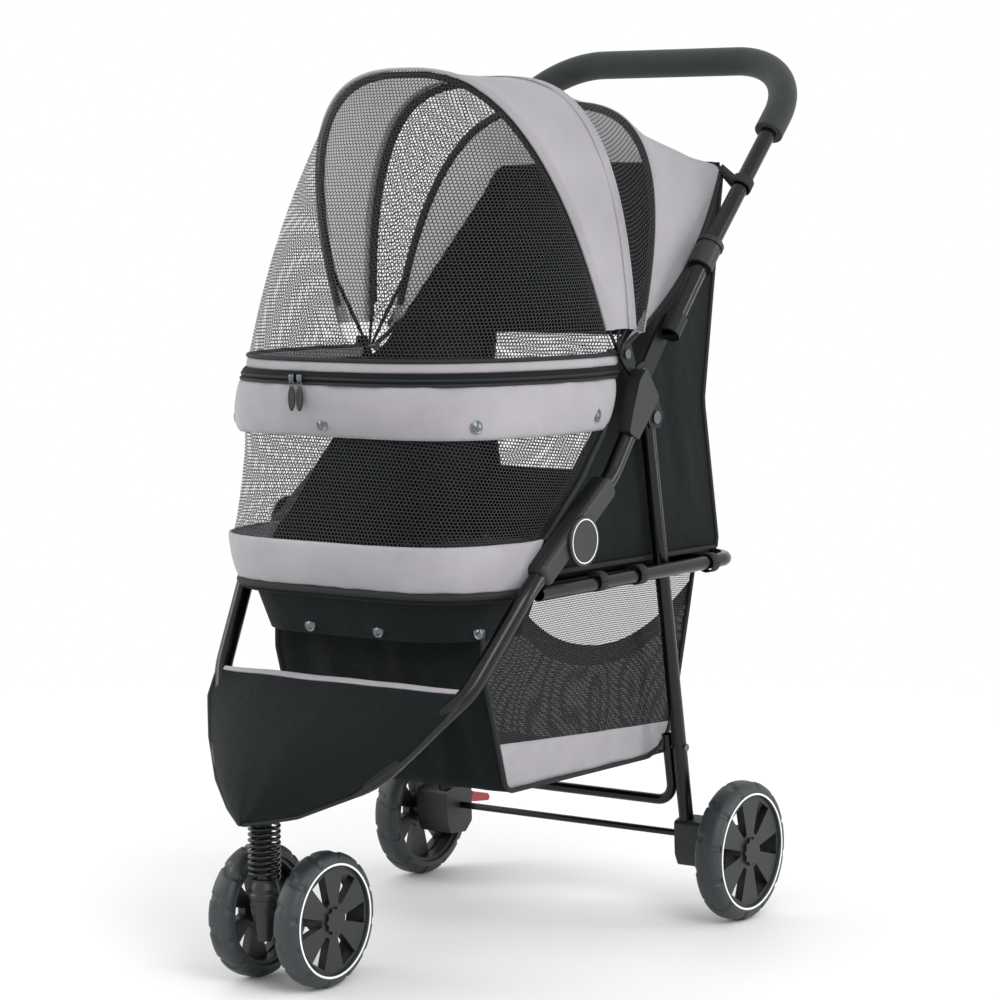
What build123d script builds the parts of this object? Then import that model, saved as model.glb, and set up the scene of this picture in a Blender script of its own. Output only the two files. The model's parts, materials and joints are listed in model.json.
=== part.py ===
from build123d import *
from math import cos, hypot, radians, sin
import os

# A three-wheel pet stroller with a zipped mesh cabin on a folding steel tube frame.
# Millimetres. -Y is the front, +Z is up, and +X is on the right of someone who stands in front of it.
# The origin is on the floor, under the middle of the whole stroller.

# Wheels
REAR_WHEEL_R = 80.0
REAR_WHEEL_W = 34.0
REAR_TRACK = 456.0
FRONT_WHEEL_R = 72.0
FRONT_WHEEL_W = 32.0
FRONT_TRACK = 88.0
REAR_AXLE_Y = 195.0
FRONT_AXLE_Y = -341.0
AXLE_R = 4.0
RUNNING_GAP = 0.05

# Frame tubes
FRAME_X = 190.0
FRONT_TUBE_R = 9.5
HANDLE_TUBE_R = 9.5
LEG_X = 172.0
LEG_TUBE_R = 8.5
RAIL_TUBE_R = 8.0
TUBE_WALL = 1.2
STEM_Y = -385.0
HUB_Z = 178.0
RAIL_Z = 412.0

# Fold hinge: the handle turns on the upper pivot, the rear legs on the lower one
HANDLE_PIVOT = (52.0, 631.0)
LEG_PIVOT = (80.0, 582.0)
PIVOT_PIN_R = 4.0
PLATE_IN = 181.0
PLATE_OUT = 184.5

# Cabin: half width, walls and the heights of its bands
CABIN_HALF = 175.0
CABIN_CORNER_Y = -150.0
CABIN_FRONT = -286.0
PAN_Z = 400.0
LOWER_BAND_Z = 411.0
WINDOW_Z = 458.0
UPPER_BAND_Z = 572.0
ZIP_Z = 619.0
CABIN_TOP_Z = 643.0
SIDE_PANEL_X = 157.0
FABRIC = 3.0

# Hood: hoops that fan about one pivot on each side
HOOD_PIVOT = (20.0, 655.0)
HOOPS = {"front": (347.0, 117.5, 174.2), "mid": (304.0, 91.0, 171.8), "rear": (311.0, 65.0, 169.4)}
HOOP_ROD_R = 2.4

# Basket and front apron
BASKET_HALF = 140.0
BASKET_WALL = 2.5

os.makedirs("parts", exist_ok=True)


def keep(piece, name):
    piece.part.label = name
    export_step(piece.part, f"parts/{name}.step")


def across(x, y, z):
    """A plane facing +X with its origin at a point, for pieces whose axis lies across the stroller."""
    return Plane(origin=(x, y, z), x_dir=(0, 1, 0), z_dir=(1, 0, 0))


def bent_tube(points, bends, radius, wall):
    """A round tube along straight runs joined by tangent bends."""
    with BuildPart() as tube:
        with BuildLine() as route:
            if bends:
                FilletPolyline(*points, radius=bends)
            else:
                Line(points[0], points[1])
        path = route.wire()
        with BuildSketch(Plane(origin=path @ 0, z_dir=path % 0)):
            Circle(radius)
            if wall:
                Circle(radius - wall, mode=Mode.SUBTRACT)
        sweep(path=path)
    return tube


# ---------------------------------------------------------------- front tubes and hub
def front_route(side):
    """Down from the hinge, along the badge joint, then in under the apron to the hub."""
    return [
        (side * FRAME_X, 36, 594),
        (side * FRAME_X, -20, 522),
        (side * FRAME_X, -180, 409),
        (side * 168, -250, 312),
        (side * 104, -334, 220),
        (side * 12.5, -380, 191),
    ]


FRONT_BENDS = [70, 90, 90, 90]
HANDS = ((-1, "left"), (1, "right"))
front_envelopes = {}
for side, hand in HANDS:
    tube = bent_tube(front_route(side), FRONT_BENDS, FRONT_TUBE_R, TUBE_WALL)
    keep(tube, f"front_tube_{hand}")
    front_envelopes[side] = bent_tube(front_route(side), FRONT_BENDS, FRONT_TUBE_R + RUNNING_GAP, 0).part

STEM_R = 8.0
HUB_R = 18.0
HUB_H = 26.0
with BuildPart() as hub:
    with BuildSketch(Plane.XY.offset(HUB_Z)):
        with Locations((0, STEM_Y)):
            Circle(HUB_R)
    extrude(amount=HUB_H)
    fillet(hub.edges().group_by(Axis.Z)[-1], radius=5)
    add(front_envelopes[-1], mode=Mode.SUBTRACT)
    add(front_envelopes[1], mode=Mode.SUBTRACT)
    with BuildSketch(Plane.XY.offset(HUB_Z)):
        with Locations((0, STEM_Y)):
            Circle(STEM_R + RUNNING_GAP)
    extrude(amount=HUB_H, mode=Mode.SUBTRACT)
keep(hub, "front_hub")

# ---------------------------------------------------------------- moulded joint sleeves on the front tubes
SLEEVE_TOP = (-30.0, 516.0)
SLEEVE_END = (-160.0, 424.0)
SLEEVE_WIDE = 27.0
SLEEVE_DEEP = 24.0
run_y = SLEEVE_END[0] - SLEEVE_TOP[0]
run_z = SLEEVE_END[1] - SLEEVE_TOP[1]
SLEEVE_LENGTH = hypot(run_y, run_z)
SLEEVE_MID = ((SLEEVE_TOP[0] + SLEEVE_END[0]) / 2, (SLEEVE_TOP[1] + SLEEVE_END[1]) / 2)
along = (0, run_y / SLEEVE_LENGTH, run_z / SLEEVE_LENGTH)
SCREW_R = 2.5
with BuildPart() as sleeves:
    for side in (-1, 1):
        for face in (-1, 1):
            inner = side * FRAME_X + face * 0.3
            with BuildSketch(Plane(origin=(inner, *SLEEVE_MID), x_dir=along, z_dir=(face, 0, 0))):
                RectangleRounded(SLEEVE_LENGTH, SLEEVE_WIDE, 8)
            extrude(amount=SLEEVE_DEEP / 2)
    fillet(sleeves.edges().filter_by(GeomType.LINE).filter_by(lambda e: e.length > 80)
           .filter_by(lambda e: abs(abs(e.center().X) - FRAME_X) > 5), radius=6)
    for side in (-1, 1):
        add(front_envelopes[side], mode=Mode.SUBTRACT)
    for side in (-1, 1):
        for end in (-1, 1):
            y = SLEEVE_MID[0] + end * 0.36 * run_y
            z = SLEEVE_MID[1] + end * 0.36 * run_z
            with BuildSketch(across(side * (FRAME_X + SLEEVE_DEEP / 2), y, z)):
                Circle(SCREW_R)
            extrude(amount=-side * 2, mode=Mode.SUBTRACT)
keep(sleeves, "joint_sleeves")

with BuildPart() as screws:
    for side in (-1, 1):
        for end in (-1, 1):
            y = SLEEVE_MID[0] + end * 0.36 * run_y
            z = SLEEVE_MID[1] + end * 0.36 * run_z
            with BuildSketch(across(side * (FRAME_X + SLEEVE_DEEP / 2 - 2), y, z)):
                Circle(SCREW_R)
                Circle(1, mode=Mode.SUBTRACT)
            extrude(amount=side * 1.5)
keep(screws, "frame_screws")

CAP_R = 27.5
CAP_Y, CAP_Z = -93.0, 459.0
with BuildPart() as caps:
    for side in (-1, 1):
        with BuildSketch(across(side * (FRAME_X + SLEEVE_DEEP / 2 + 0.3), CAP_Y, CAP_Z)):
            Circle(CAP_R)
        extrude(amount=side * 4)
    fillet(caps.edges().filter_by(lambda e: abs(e.center().X) > FRAME_X + SLEEVE_DEEP / 2 + 3), radius=1.5)
keep(caps, "joint_caps")

# ---------------------------------------------------------------- fold hinge
HOUSING_OUTLINE = [(36, 640), (52, 619), (62, 606), (44, 586), (20, 561), (2, 570), (10, 596), (22, 626)]
with BuildPart() as housings:
    for side in (-1, 1):
        with BuildSketch(across(side * (PLATE_OUT + 0.3), 0, 0)):
            with BuildLine():
                Polyline(*HOUSING_OUTLINE, close=True)
            make_face()
            fillet(vertices(), radius=4)
        extrude(amount=side * 16)
        add(front_envelopes[side], mode=Mode.SUBTRACT)
keep(housings, "hinge_housings")

PLATE_OUTLINE = [(40, 640), (52, 646), (64, 634), (84, 606), (96, 582),
                 (88, 570), (70, 570), (56, 592), (42, 618)]
HOOD_EAR = [(38, 646), (28, 667), (12, 667), (8, 652), (16, 642), (36, 626)]
HOOD_PIN_R = 3.0
with BuildPart() as plates:
    for side in (-1, 1):
        with BuildSketch(across(side * PLATE_IN, 0, 0)):
            with BuildLine():
                Polyline(*HOOD_EAR, close=True)
            make_face()
            with BuildLine():
                Polyline(*PLATE_OUTLINE, close=True)
            make_face()
            fillet(vertices(), radius=2.5)
            with Locations(HANDLE_PIVOT, LEG_PIVOT):
                Circle(PIVOT_PIN_R + RUNNING_GAP, mode=Mode.SUBTRACT)
            with Locations(HOOD_PIVOT):
                Circle(HOOD_PIN_R + RUNNING_GAP, mode=Mode.SUBTRACT)
        extrude(amount=side * (PLATE_OUT - PLATE_IN))
keep(plates, "hinge_plates")

HEAD = 2.2
with BuildPart() as pins:
    for side in (-1, 1):
        with BuildSketch(across(side * 176.5, *HANDLE_PIVOT)):
            Circle(PIVOT_PIN_R)
        extrude(amount=side * (PLATE_OUT - 176.5 + HEAD))
        with BuildSketch(across(side * 162.5, *LEG_PIVOT)):
            Circle(PIVOT_PIN_R)
        extrude(amount=side * (PLATE_OUT - 162.5 + HEAD))
        for place in (HANDLE_PIVOT, LEG_PIVOT):
            with BuildSketch(across(side * PLATE_OUT, *place)):
                Circle(7)
            extrude(amount=side * HEAD)
keep(pins, "hinge_pins")

# Each hoop stack turns on a stud inside the handle arm's path; a rivet in line with it closes the ear outside
STUD_IN = 160.4
STUD_OUT = 176.4
STUD_HEAD_R = 5.5
with BuildPart() as hood_pins:
    for side in (-1, 1):
        with BuildSketch(across(side * STUD_IN, *HOOD_PIVOT)):
            Circle(HOOD_PIN_R)
        extrude(amount=side * (STUD_OUT - STUD_IN))
        with BuildSketch(across(side * STUD_IN, *HOOD_PIVOT)):
            Circle(STUD_HEAD_R)
        extrude(amount=side * HEAD)
        with BuildSketch(across(side * PLATE_IN, *HOOD_PIVOT)):
            Circle(HOOD_PIN_R)
        extrude(amount=side * (PLATE_OUT - PLATE_IN + HEAD))
        with BuildSketch(across(side * PLATE_OUT, *HOOD_PIVOT)):
            Circle(STUD_HEAD_R)
        extrude(amount=side * HEAD)
keep(hood_pins, "hood_pivot_pins")

# ---------------------------------------------------------------- base tube and board under the cabin
RAIL_FRONT_Y = -158.0
RAIL_REAR_Y = 244.0
base_route = [(FRAME_X, RAIL_FRONT_Y, RAIL_Z - 5), (FRAME_X, RAIL_REAR_Y, RAIL_Z),
              (-FRAME_X, RAIL_REAR_Y, RAIL_Z), (-FRAME_X, RAIL_FRONT_Y, RAIL_Z - 5)]
base_blank = bent_tube(base_route, 35, RAIL_TUBE_R, TUBE_WALL)
with BuildPart() as base_tube:
    add(base_blank.part)
    add(sleeves.part, mode=Mode.SUBTRACT)
    for side in (-1, 1):
        add(front_envelopes[side], mode=Mode.SUBTRACT)
keep(base_tube, "base_tube")

BOARD_Z = 396.0
with BuildPart() as board:
    with BuildSketch(Plane.XY.offset(BOARD_Z)):
        with Locations((0, -10)):
            RectangleRounded(300, 420, 30)
    extrude(amount=3.6)
keep(board, "cabin_board")

# ---------------------------------------------------------------- handle: arms, tubes, ferrules, bar, grip
FERRULE = (174.0, 761.5)
lower_run = hypot(FERRULE[0] - 60, FERRULE[1] - 632)
lower_dir = ((FERRULE[0] - 60) / lower_run, (FERRULE[1] - 632) / lower_run)
TUBE_START = (97.0, 674.0)
BAR_TOP = (396.0, 989.0)
BAR_BEND = 95.0
GRIP_R = 17.0
ARM_OUTLINE = [(42, 636), (50, 643), (60, 643), (86, 676), (106, 699),
               (122, 687), (107, 663), (78, 628), (62, 621), (46, 621)]
handle_envelopes = {}
lower_tubes = []
for side in (-1, 1):
    ends = [(side * FRAME_X, *TUBE_START), (side * FRAME_X, *FERRULE)]
    lower_tubes.append(bent_tube(ends, None, HANDLE_TUBE_R, TUBE_WALL).part)
    handle_envelopes[side] = bent_tube(ends, None, HANDLE_TUBE_R + RUNNING_GAP, 0).part
with BuildPart() as handle_tubes:
    add(lower_tubes)
keep(handle_tubes, "handle_tubes")

BAR_START_Y = FERRULE[0] + 1.5
BAR_START_Z = FERRULE[1] + 1.5
bar_route = [(FRAME_X, BAR_START_Y, BAR_START_Z), (FRAME_X, *BAR_TOP),
             (-FRAME_X, *BAR_TOP), (-FRAME_X, BAR_START_Y, BAR_START_Z)]
bar = bent_tube(bar_route, BAR_BEND, HANDLE_TUBE_R, TUBE_WALL)
keep(bar, "handle_bar")
bar_envelope = bent_tube(bar_route, BAR_BEND, HANDLE_TUBE_R + RUNNING_GAP, 0).part

GRIP_START = (311.0, 901.5)
grip_route = [(FRAME_X, *GRIP_START), (FRAME_X, *BAR_TOP), (-FRAME_X, *BAR_TOP), (-FRAME_X, *GRIP_START)]
grip_blank = bent_tube(grip_route, BAR_BEND, GRIP_R, 0)
with BuildPart() as grip:
    add(grip_blank.part)
    add(bar_envelope, mode=Mode.SUBTRACT)
keep(grip, "handle_grip")

COLLAR_R = 12.5
with BuildPart() as arms:
    for side in (-1, 1):
        with BuildSketch(across(side * 176.8, 0, 0)):
            with BuildLine():
                Polyline(*ARM_OUTLINE, close=True)
            make_face()
            fillet(vertices(), radius=4)
            with Locations(HANDLE_PIVOT):
                Circle(PIVOT_PIN_R + RUNNING_GAP, mode=Mode.SUBTRACT)
        extrude(amount=side * 3.7)
        collar = Plane(origin=(side * FRAME_X, *TUBE_START), z_dir=(0, *lower_dir))
        with BuildSketch(collar):
            Circle(COLLAR_R)
        extrude(amount=26)
        add(handle_envelopes[side], mode=Mode.SUBTRACT)
keep(arms, "handle_arms")

FERRULE_R = 14.5
FERRULE_L = 38.0
BUTTON_R = 4.0
BUTTON_TRAVEL = 2.5
back_dir = (0, lower_dir[1], -lower_dir[0])
with BuildPart() as ferrules:
    for side in (-1, 1):
        seat = Plane(origin=(side * FRAME_X, *FERRULE), z_dir=(0, *lower_dir))
        with BuildSketch(seat.offset(-FERRULE_L / 2)):
            Circle(FERRULE_R)
        extrude(amount=FERRULE_L)
        with BuildSketch(seat.offset(FERRULE_L / 2 - 7)):
            Circle(FERRULE_R + 1.5)
        extrude(amount=5)
        add(handle_envelopes[side], mode=Mode.SUBTRACT)
        with BuildSketch(Plane(origin=(side * FRAME_X, *FERRULE), z_dir=back_dir)):
            Circle(BUTTON_R + RUNNING_GAP)
        extrude(amount=20, mode=Mode.SUBTRACT)
    add(bar_envelope, mode=Mode.SUBTRACT)
keep(ferrules, "handle_ferrules")

for side, hand in HANDS:
    with BuildPart() as button:
        with BuildSketch(Plane(origin=(side * FRAME_X, *FERRULE), z_dir=back_dir).offset(12.8)):
            Circle(BUTTON_R)
        extrude(amount=5)
        fillet(button.edges().filter_by(GeomType.CIRCLE).sort_by(Axis.Y)[-1], radius=1.5)
    keep(button, f"ferrule_button_{hand}")

# ---------------------------------------------------------------- rear legs, brace, wheel brackets and brakes
LEG_FOOT = (174.8, 80.5)
leg_run = hypot(LEG_FOOT[0] - LEG_PIVOT[0], LEG_FOOT[1] - LEG_PIVOT[1])
leg_dir = ((LEG_FOOT[0] - LEG_PIVOT[0]) / leg_run, (LEG_FOOT[1] - LEG_PIVOT[1]) / leg_run)
LEG_TOP = (LEG_PIVOT[0] - 9 * leg_dir[0], LEG_PIVOT[1] - 9 * leg_dir[1])
BRACE_X = 156.5
BRACE_TUBE_R = 6.0
RIVET_R = 2.5
RIVET_POINT = (LEG_PIVOT[0] + leg_dir[0] / leg_dir[1] * (200 - LEG_PIVOT[1]), 200.0)
leg_envelopes = {}
leg_blanks = {}
for side in (-1, 1):
    ends = [(side * LEG_X, *LEG_TOP), (side * LEG_X, *LEG_FOOT)]
    leg_blanks[side] = bent_tube(ends, None, LEG_TUBE_R, TUBE_WALL).part
    leg_envelopes[side] = bent_tube(ends, None, LEG_TUBE_R + RUNNING_GAP, 0).part
with BuildPart() as legs:
    for side in (-1, 1):
        add(leg_blanks[side])
        with BuildSketch(across(side * (LEG_X - 12), *LEG_PIVOT)):
            Circle(PIVOT_PIN_R + RUNNING_GAP)
        extrude(amount=side * 24, mode=Mode.SUBTRACT)
        with BuildSketch(across(side * (LEG_X - 12), *RIVET_POINT)):
            Circle(RIVET_R)
        extrude(amount=side * 24, mode=Mode.SUBTRACT)
keep(legs, "rear_legs")

brace_route = [(BRACE_X, 149.5, 214), (BRACE_X, 165, 134), (-BRACE_X, 165, 134), (-BRACE_X, 149.5, 214)]
brace_blank = bent_tube(brace_route, 22, BRACE_TUBE_R, TUBE_WALL)
with BuildPart() as brace:
    add(brace_blank.part)
    for side in (-1, 1):
        with BuildSketch(across(side * (BRACE_X - 10), *RIVET_POINT)):
            Circle(RIVET_R)
        extrude(amount=side * 20, mode=Mode.SUBTRACT)
keep(brace, "cross_brace")

BRACKET_OUTLINE = [(157, 112), (178, 118), (208, 112), (209, 70), (196, 58), (166, 60), (159, 74)]
BRACKET_IN = 162.0
BRACKET_OUT = 207.0
ROD_R = 4.0
ROD_POINT = (188.0, 92.0)
BRAKE_PIVOT = (217.0, 100.0)
BRAKE_PIN_R = 3.0
STUB_R = 5.0
with BuildPart() as brackets:
    for side in (-1, 1):
        with BuildSketch(across(side * BRACKET_IN, 0, 0)):
            with BuildLine():
                Polyline(*BRACKET_OUTLINE, close=True)
            make_face()
            fillet(vertices(), radius=5)
        extrude(amount=side * (BRACKET_OUT - BRACKET_IN))
        for ear in (171.5, 199.0):
            with BuildSketch(across(side * ear, 0, 0)):
                with BuildLine():
                    Polyline((204, 108), (218, 108), (225, 100), (218, 92), (204, 92), close=True)
                make_face()
                fillet(vertices(), radius=2)
                with Locations(BRAKE_PIVOT):
                    Circle(BRAKE_PIN_R + RUNNING_GAP, mode=Mode.SUBTRACT)
            extrude(amount=side * 4)
        with BuildSketch(across(side * (BRACKET_OUT - 25), REAR_AXLE_Y, REAR_WHEEL_R)):
            Circle(STUB_R)
        extrude(amount=side * 30, mode=Mode.SUBTRACT)
        with BuildSketch(across(side * (BRACKET_IN - 1), *ROD_POINT)):
            Circle(ROD_R)
        extrude(amount=side * 9, mode=Mode.SUBTRACT)
        add(leg_envelopes[side], mode=Mode.SUBTRACT)
keep(brackets, "wheel_brackets")

with BuildPart() as rod:
    with BuildSketch(across(-BRACKET_IN - 8, *ROD_POINT)):
        Circle(ROD_R)
    extrude(amount=2 * (BRACKET_IN + 8))
    for side in (-1, 1):
        add(leg_envelopes[side], mode=Mode.SUBTRACT)
keep(rod, "axle_rod")

with BuildPart() as leg_pins:
    for side in (-1, 1):
        with BuildSketch(across(side * (BRACE_X - BRACE_TUBE_R - 1), *RIVET_POINT)):
            Circle(RIVET_R)
        extrude(amount=side * (LEG_X - BRACE_X + LEG_TUBE_R + BRACE_TUBE_R + 1))
        with BuildSketch(across(side * (LEG_X + LEG_TUBE_R), *RIVET_POINT)):
            Circle(4.5)
        extrude(amount=side * 1.8)
        with BuildSketch(across(side * (BRACKET_OUT - 25), REAR_AXLE_Y, REAR_WHEEL_R)):
            Circle(STUB_R)
        extrude(amount=side * 60)
        with BuildSketch(across(side * 170.5, *BRAKE_PIVOT)):
            Circle(BRAKE_PIN_R)
        extrude(amount=side * 33.5)
keep(leg_pins, "leg_pins")

PEDAL_OUTLINE = [(210, 100), (213, 106), (221, 106), (232, 100), (262, 94),
                 (266, 89), (263, 85), (232, 88), (217, 93), (212, 95)]
for side, hand in HANDS:
    with BuildPart() as pedal:
        with BuildSketch(across(side * 175.9, 0, 0)):
            with BuildLine():
                Polyline(*PEDAL_OUTLINE, close=True)
            make_face()
            fillet(vertices(), radius=1.8)
            with Locations(BRAKE_PIVOT):
                Circle(BRAKE_PIN_R + RUNNING_GAP, mode=Mode.SUBTRACT)
        extrude(amount=side * 22.7)
    keep(pedal, f"brake_pedal_{hand}")

# ---------------------------------------------------------------- wheels
SPOKES = 6
SCALLOPS = 10


def make_wheel(name, x, y, radius, width, out, bore):
    """A tyre, and a spoked rim with its hub cap. out is +1 or -1, the side that the cap is on."""
    seat = 0.8 * radius
    half = width / 2
    centre = Plane(origin=(x, y, radius), x_dir=(1, 0, 0), z_dir=(0, -1, 0))
    with BuildPart() as tyre:
        with BuildSketch(centre):
            with BuildLine():
                Line((-half + 9, radius), (half - 9, radius))
                ThreePointArc((half - 9, radius), (half - 2.6, radius - 2.6), (half, radius - 9))
                Polyline((half, radius - 9), (half, seat + 3), (half - 3, seat), (-half + 3, seat),
                         (-half, seat + 3), (-half, radius - 9))
                ThreePointArc((-half, radius - 9), (-half + 2.6, radius - 2.6), (-half + 9, radius))
            make_face()
        revolve(axis=Axis((x, y, radius), (1, 0, 0)))
    keep(tyre, f"{name}_tyre")

    hub_r = 0.2 * radius
    face = across(x, y, radius)
    with BuildPart() as rim:
        with BuildSketch(face.offset(-half + 4)):
            Circle(seat)
            Circle(seat - 4, mode=Mode.SUBTRACT)
        extrude(amount=width - 8)
        with BuildSketch(face.offset(out * half * 0.5 - 5)):
            Circle(seat - 3)
            with PolarLocations(0, SPOKES):
                Polygon((hub_r + 5, -3.5), (seat - 6, -0.2 * seat), (seat - 6, 0.2 * seat), (hub_r + 5, 3.5),
                        align=None, mode=Mode.SUBTRACT)
        extrude(amount=10)
        with BuildSketch(face.offset(-half + 3)):
            Circle(hub_r)
        extrude(amount=width - 6)
        with BuildSketch(face.offset(-half)):
            Circle(bore + RUNNING_GAP)
        extrude(amount=width, mode=Mode.SUBTRACT)
        with BuildSketch(face.offset(out * (half - 2.9))):
            Circle(0.175 * radius)
            with PolarLocations(0.175 * radius, SCALLOPS):
                Circle(0.03 * radius)
        extrude(amount=out * 2.9)
    keep(rim, f"{name}_rim")


for side, hand in HANDS:
    rear_x = side * REAR_TRACK / 2
    front_x = side * FRONT_TRACK / 2
    make_wheel(f"rear_wheel_{hand}", rear_x, REAR_AXLE_Y, REAR_WHEEL_R, REAR_WHEEL_W, side, STUB_R)
    make_wheel(f"front_wheel_{hand}", front_x, FRONT_AXLE_Y, FRONT_WHEEL_R, FRONT_WHEEL_W, side, AXLE_R)

# ---------------------------------------------------------------- sprung caster
SPRING_LOW = 117.0
SPRING_R = 15.5
WIRE_R = 2.0
TURNS = 9.5
COIL_RISE = HUB_Z - SPRING_LOW - 2 * WIRE_R - 0.4
FORK_TOP = 96.0
FORK_BOTTOM = 52.0
SWIVEL_PIN_R = 5.0
stem_section = Plane(origin=(0, STEM_Y, 0), x_dir=(1, 0, 0), z_dir=(0, -1, 0))
with BuildPart() as stem:
    with BuildSketch(stem_section):
        with BuildLine():
            Polyline((0, 60), (SWIVEL_PIN_R, 60), (SWIVEL_PIN_R, FORK_TOP + 0.6), (16.5, FORK_TOP + 0.6),
                     (16.5, 101), (15, 103), (15, 108), (13, 114), (13, SPRING_LOW), (STEM_R, SPRING_LOW),
                     (STEM_R, 190), (0, 190), close=True)
        make_face()
    revolve(axis=Axis((0, STEM_Y, 0), (0, 0, 1)))
keep(stem, "caster_stem")

with BuildPart() as spring:
    with BuildLine():
        coil = Helix(pitch=COIL_RISE / TURNS, height=COIL_RISE, radius=SPRING_R,
                     center=(0, STEM_Y, SPRING_LOW + WIRE_R + 0.2))
    with BuildSketch(Plane(origin=coil @ 0, z_dir=coil % 0)):
        Circle(WIRE_R)
    sweep(is_frenet=True)
keep(spring, "suspension_spring")

with BuildPart() as fork:
    with BuildSketch(stem_section):
        with BuildLine():
            Polyline((0, FORK_BOTTOM), (8, FORK_BOTTOM), (9.5, 58), (14.5, 88), (15.5, 90), (15.5, FORK_TOP),
                     (0, FORK_TOP), close=True)
        make_face()
    revolve(axis=Axis((0, STEM_Y, 0), (0, 0, 1)))
    with BuildSketch(across(-8, 0, 0)):
        with BuildLine():
            Polyline((STEM_Y, 86), (FRONT_AXLE_Y, 82), (FRONT_AXLE_Y, 62), (STEM_Y, 60), close=True)
        make_face()
    extrude(amount=16)
    with BuildSketch(across(-27.5, FRONT_AXLE_Y, FRONT_WHEEL_R)):
        Circle(11)
    extrude(amount=55)
    with BuildSketch(across(-30, FRONT_AXLE_Y, FRONT_WHEEL_R)):
        Circle(AXLE_R)
    extrude(amount=60, mode=Mode.SUBTRACT)
    with BuildSketch(Plane.XY.offset(59.5)):
        with Locations((0, STEM_Y)):
            Circle(SWIVEL_PIN_R + RUNNING_GAP)
    extrude(amount=50, mode=Mode.SUBTRACT)
keep(fork, "caster_fork")

with BuildPart() as axle:
    with BuildSketch(across(-56.5, FRONT_AXLE_Y, FRONT_WHEEL_R)):
        Circle(AXLE_R)
    extrude(amount=113)
keep(axle, "front_axle")

# ---------------------------------------------------------------- cabin walls
# The wall bands wrap round the front; behind this line the side panels close the cabin
BAND_END = [(-168, 395), (-165, 404), (-135, 458), (-116, 471), (-14, 570),
            (11, 640), (11, 700), (400, 700), (400, 395)]


def cabin_plan(half, front):
    """The cabin's outline from above: flat sides and a rounded, slightly bowed front."""
    corner = half - 99
    ThreePointArc((-corner, front + 10), (0, front), (corner, front + 10))
    ThreePointArc((corner, front + 10), (half - 27, front + 44), (half, CABIN_CORNER_Y))
    Polyline((half, CABIN_CORNER_Y), (half, 60), (-half, 60), (-half, CABIN_CORNER_Y))
    ThreePointArc((-half, CABIN_CORNER_Y), (-half + 27, front + 44), (-corner, front + 10))


def cabin_band(low, high, half, front, wall):
    with BuildPart() as band:
        with BuildSketch(Plane.XY.offset(low)):
            with BuildLine():
                cabin_plan(half, front)
            make_face()
            with BuildLine():
                cabin_plan(half - wall, front + wall)
            make_face(mode=Mode.SUBTRACT)
        extrude(amount=high - low)
        with BuildSketch(Plane.YZ):
            with BuildLine():
                Polyline(*BAND_END, close=True)
            make_face()
        extrude(amount=200, both=True, mode=Mode.SUBTRACT)
    return band


keep(cabin_band(LOWER_BAND_Z + 0.3, WINDOW_Z, CABIN_HALF, CABIN_FRONT, 6), "cabin_lower_band")
keep(cabin_band(WINDOW_Z + 0.3, UPPER_BAND_Z, CABIN_HALF - 1, CABIN_FRONT + 8, FABRIC), "cabin_window")
keep(cabin_band(UPPER_BAND_Z + 0.3, ZIP_Z, CABIN_HALF, CABIN_FRONT, 6), "cabin_upper_band")
keep(cabin_band(ZIP_Z + 0.3, CABIN_TOP_Z, CABIN_HALF - 1.6, CABIN_FRONT, 4), "cabin_zipper")

PAN_HALF = 160.0
PAN_REAR = 234.0
with BuildPart() as pan:
    with BuildSketch(Plane.XY.offset(PAN_Z)):
        with BuildLine():
            cabin_plan(CABIN_HALF, CABIN_FRONT + 10)
        make_face()
        with Locations((0, 150)):
            Rectangle(400, 300, mode=Mode.SUBTRACT)
        with Locations((0, (PAN_REAR - 100) / 2)):
            Rectangle(2 * PAN_HALF, PAN_REAR + 100)
    extrude(amount=LOWER_BAND_Z - PAN_Z)
    top = pan.faces().sort_by(Axis.Z)[-1]
    offset(amount=-4, openings=top)
keep(pan, "cabin_pan")

MAT_TOP = 422.0
with BuildPart() as mat:
    with BuildSketch(Plane.XY.offset(PAN_Z + 4.3)):
        with Locations((0, -18)):
            RectangleRounded(296, 456, 60)
    extrude(amount=MAT_TOP - PAN_Z - 4.3)
    fillet(mat.edges().group_by(Axis.Z)[-1], radius=5)
keep(mat, "floor_mat")

SIDE_OUTLINE = [(-170, 421.5), (-150, 458), (-130, 471), (-30, 570), (-6, 636), (16, 645), (30, 656),
                (256, 856),
                (236, 720), (219, 594), (251, 432), (249, 421.5)]
with BuildPart() as sides:
    for side in (-1, 1):
        with BuildSketch(across(side * SIDE_PANEL_X, 0, 0)):
            with BuildLine():
                Polyline(*SIDE_OUTLINE, close=True)
            make_face()
        extrude(amount=side * FABRIC)
keep(sides, "cabin_sides")

with BuildPart() as back:
    with BuildSketch(across(-SIDE_PANEL_X + 0.3, 0, 0)):
        with BuildLine():
            Polyline((254, 858), (233, 720), (216, 594), (248, 432), (246, 421.5), (243, 421.5), (245, 432),
                     (213, 594), (230, 720), (251, 858), close=True)
        make_face()
    extrude(amount=2 * (SIDE_PANEL_X - 0.3))
keep(back, "cabin_back")

SNAP_R = 6.5
SNAP_Z = 586.0
with BuildPart() as snaps:
    with BuildSketch(Plane(origin=(0, CABIN_FRONT - 0.3, SNAP_Z), z_dir=(0, -1, 0))):
        Circle(SNAP_R)
    extrude(amount=2.5)
    for side in (-1, 1):
        with BuildSketch(across(side * (CABIN_HALF + 0.3), -31, SNAP_Z)):
            Circle(SNAP_R)
        extrude(amount=side * 2.5)
        corner = Plane(origin=(side * 151.5, CABIN_FRONT + 40, SNAP_Z), z_dir=(side * 0.72, -0.69, 0))
        with BuildSketch(corner):
            Circle(SNAP_R)
        extrude(amount=2.5)
keep(snaps, "snap_buttons")

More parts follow.
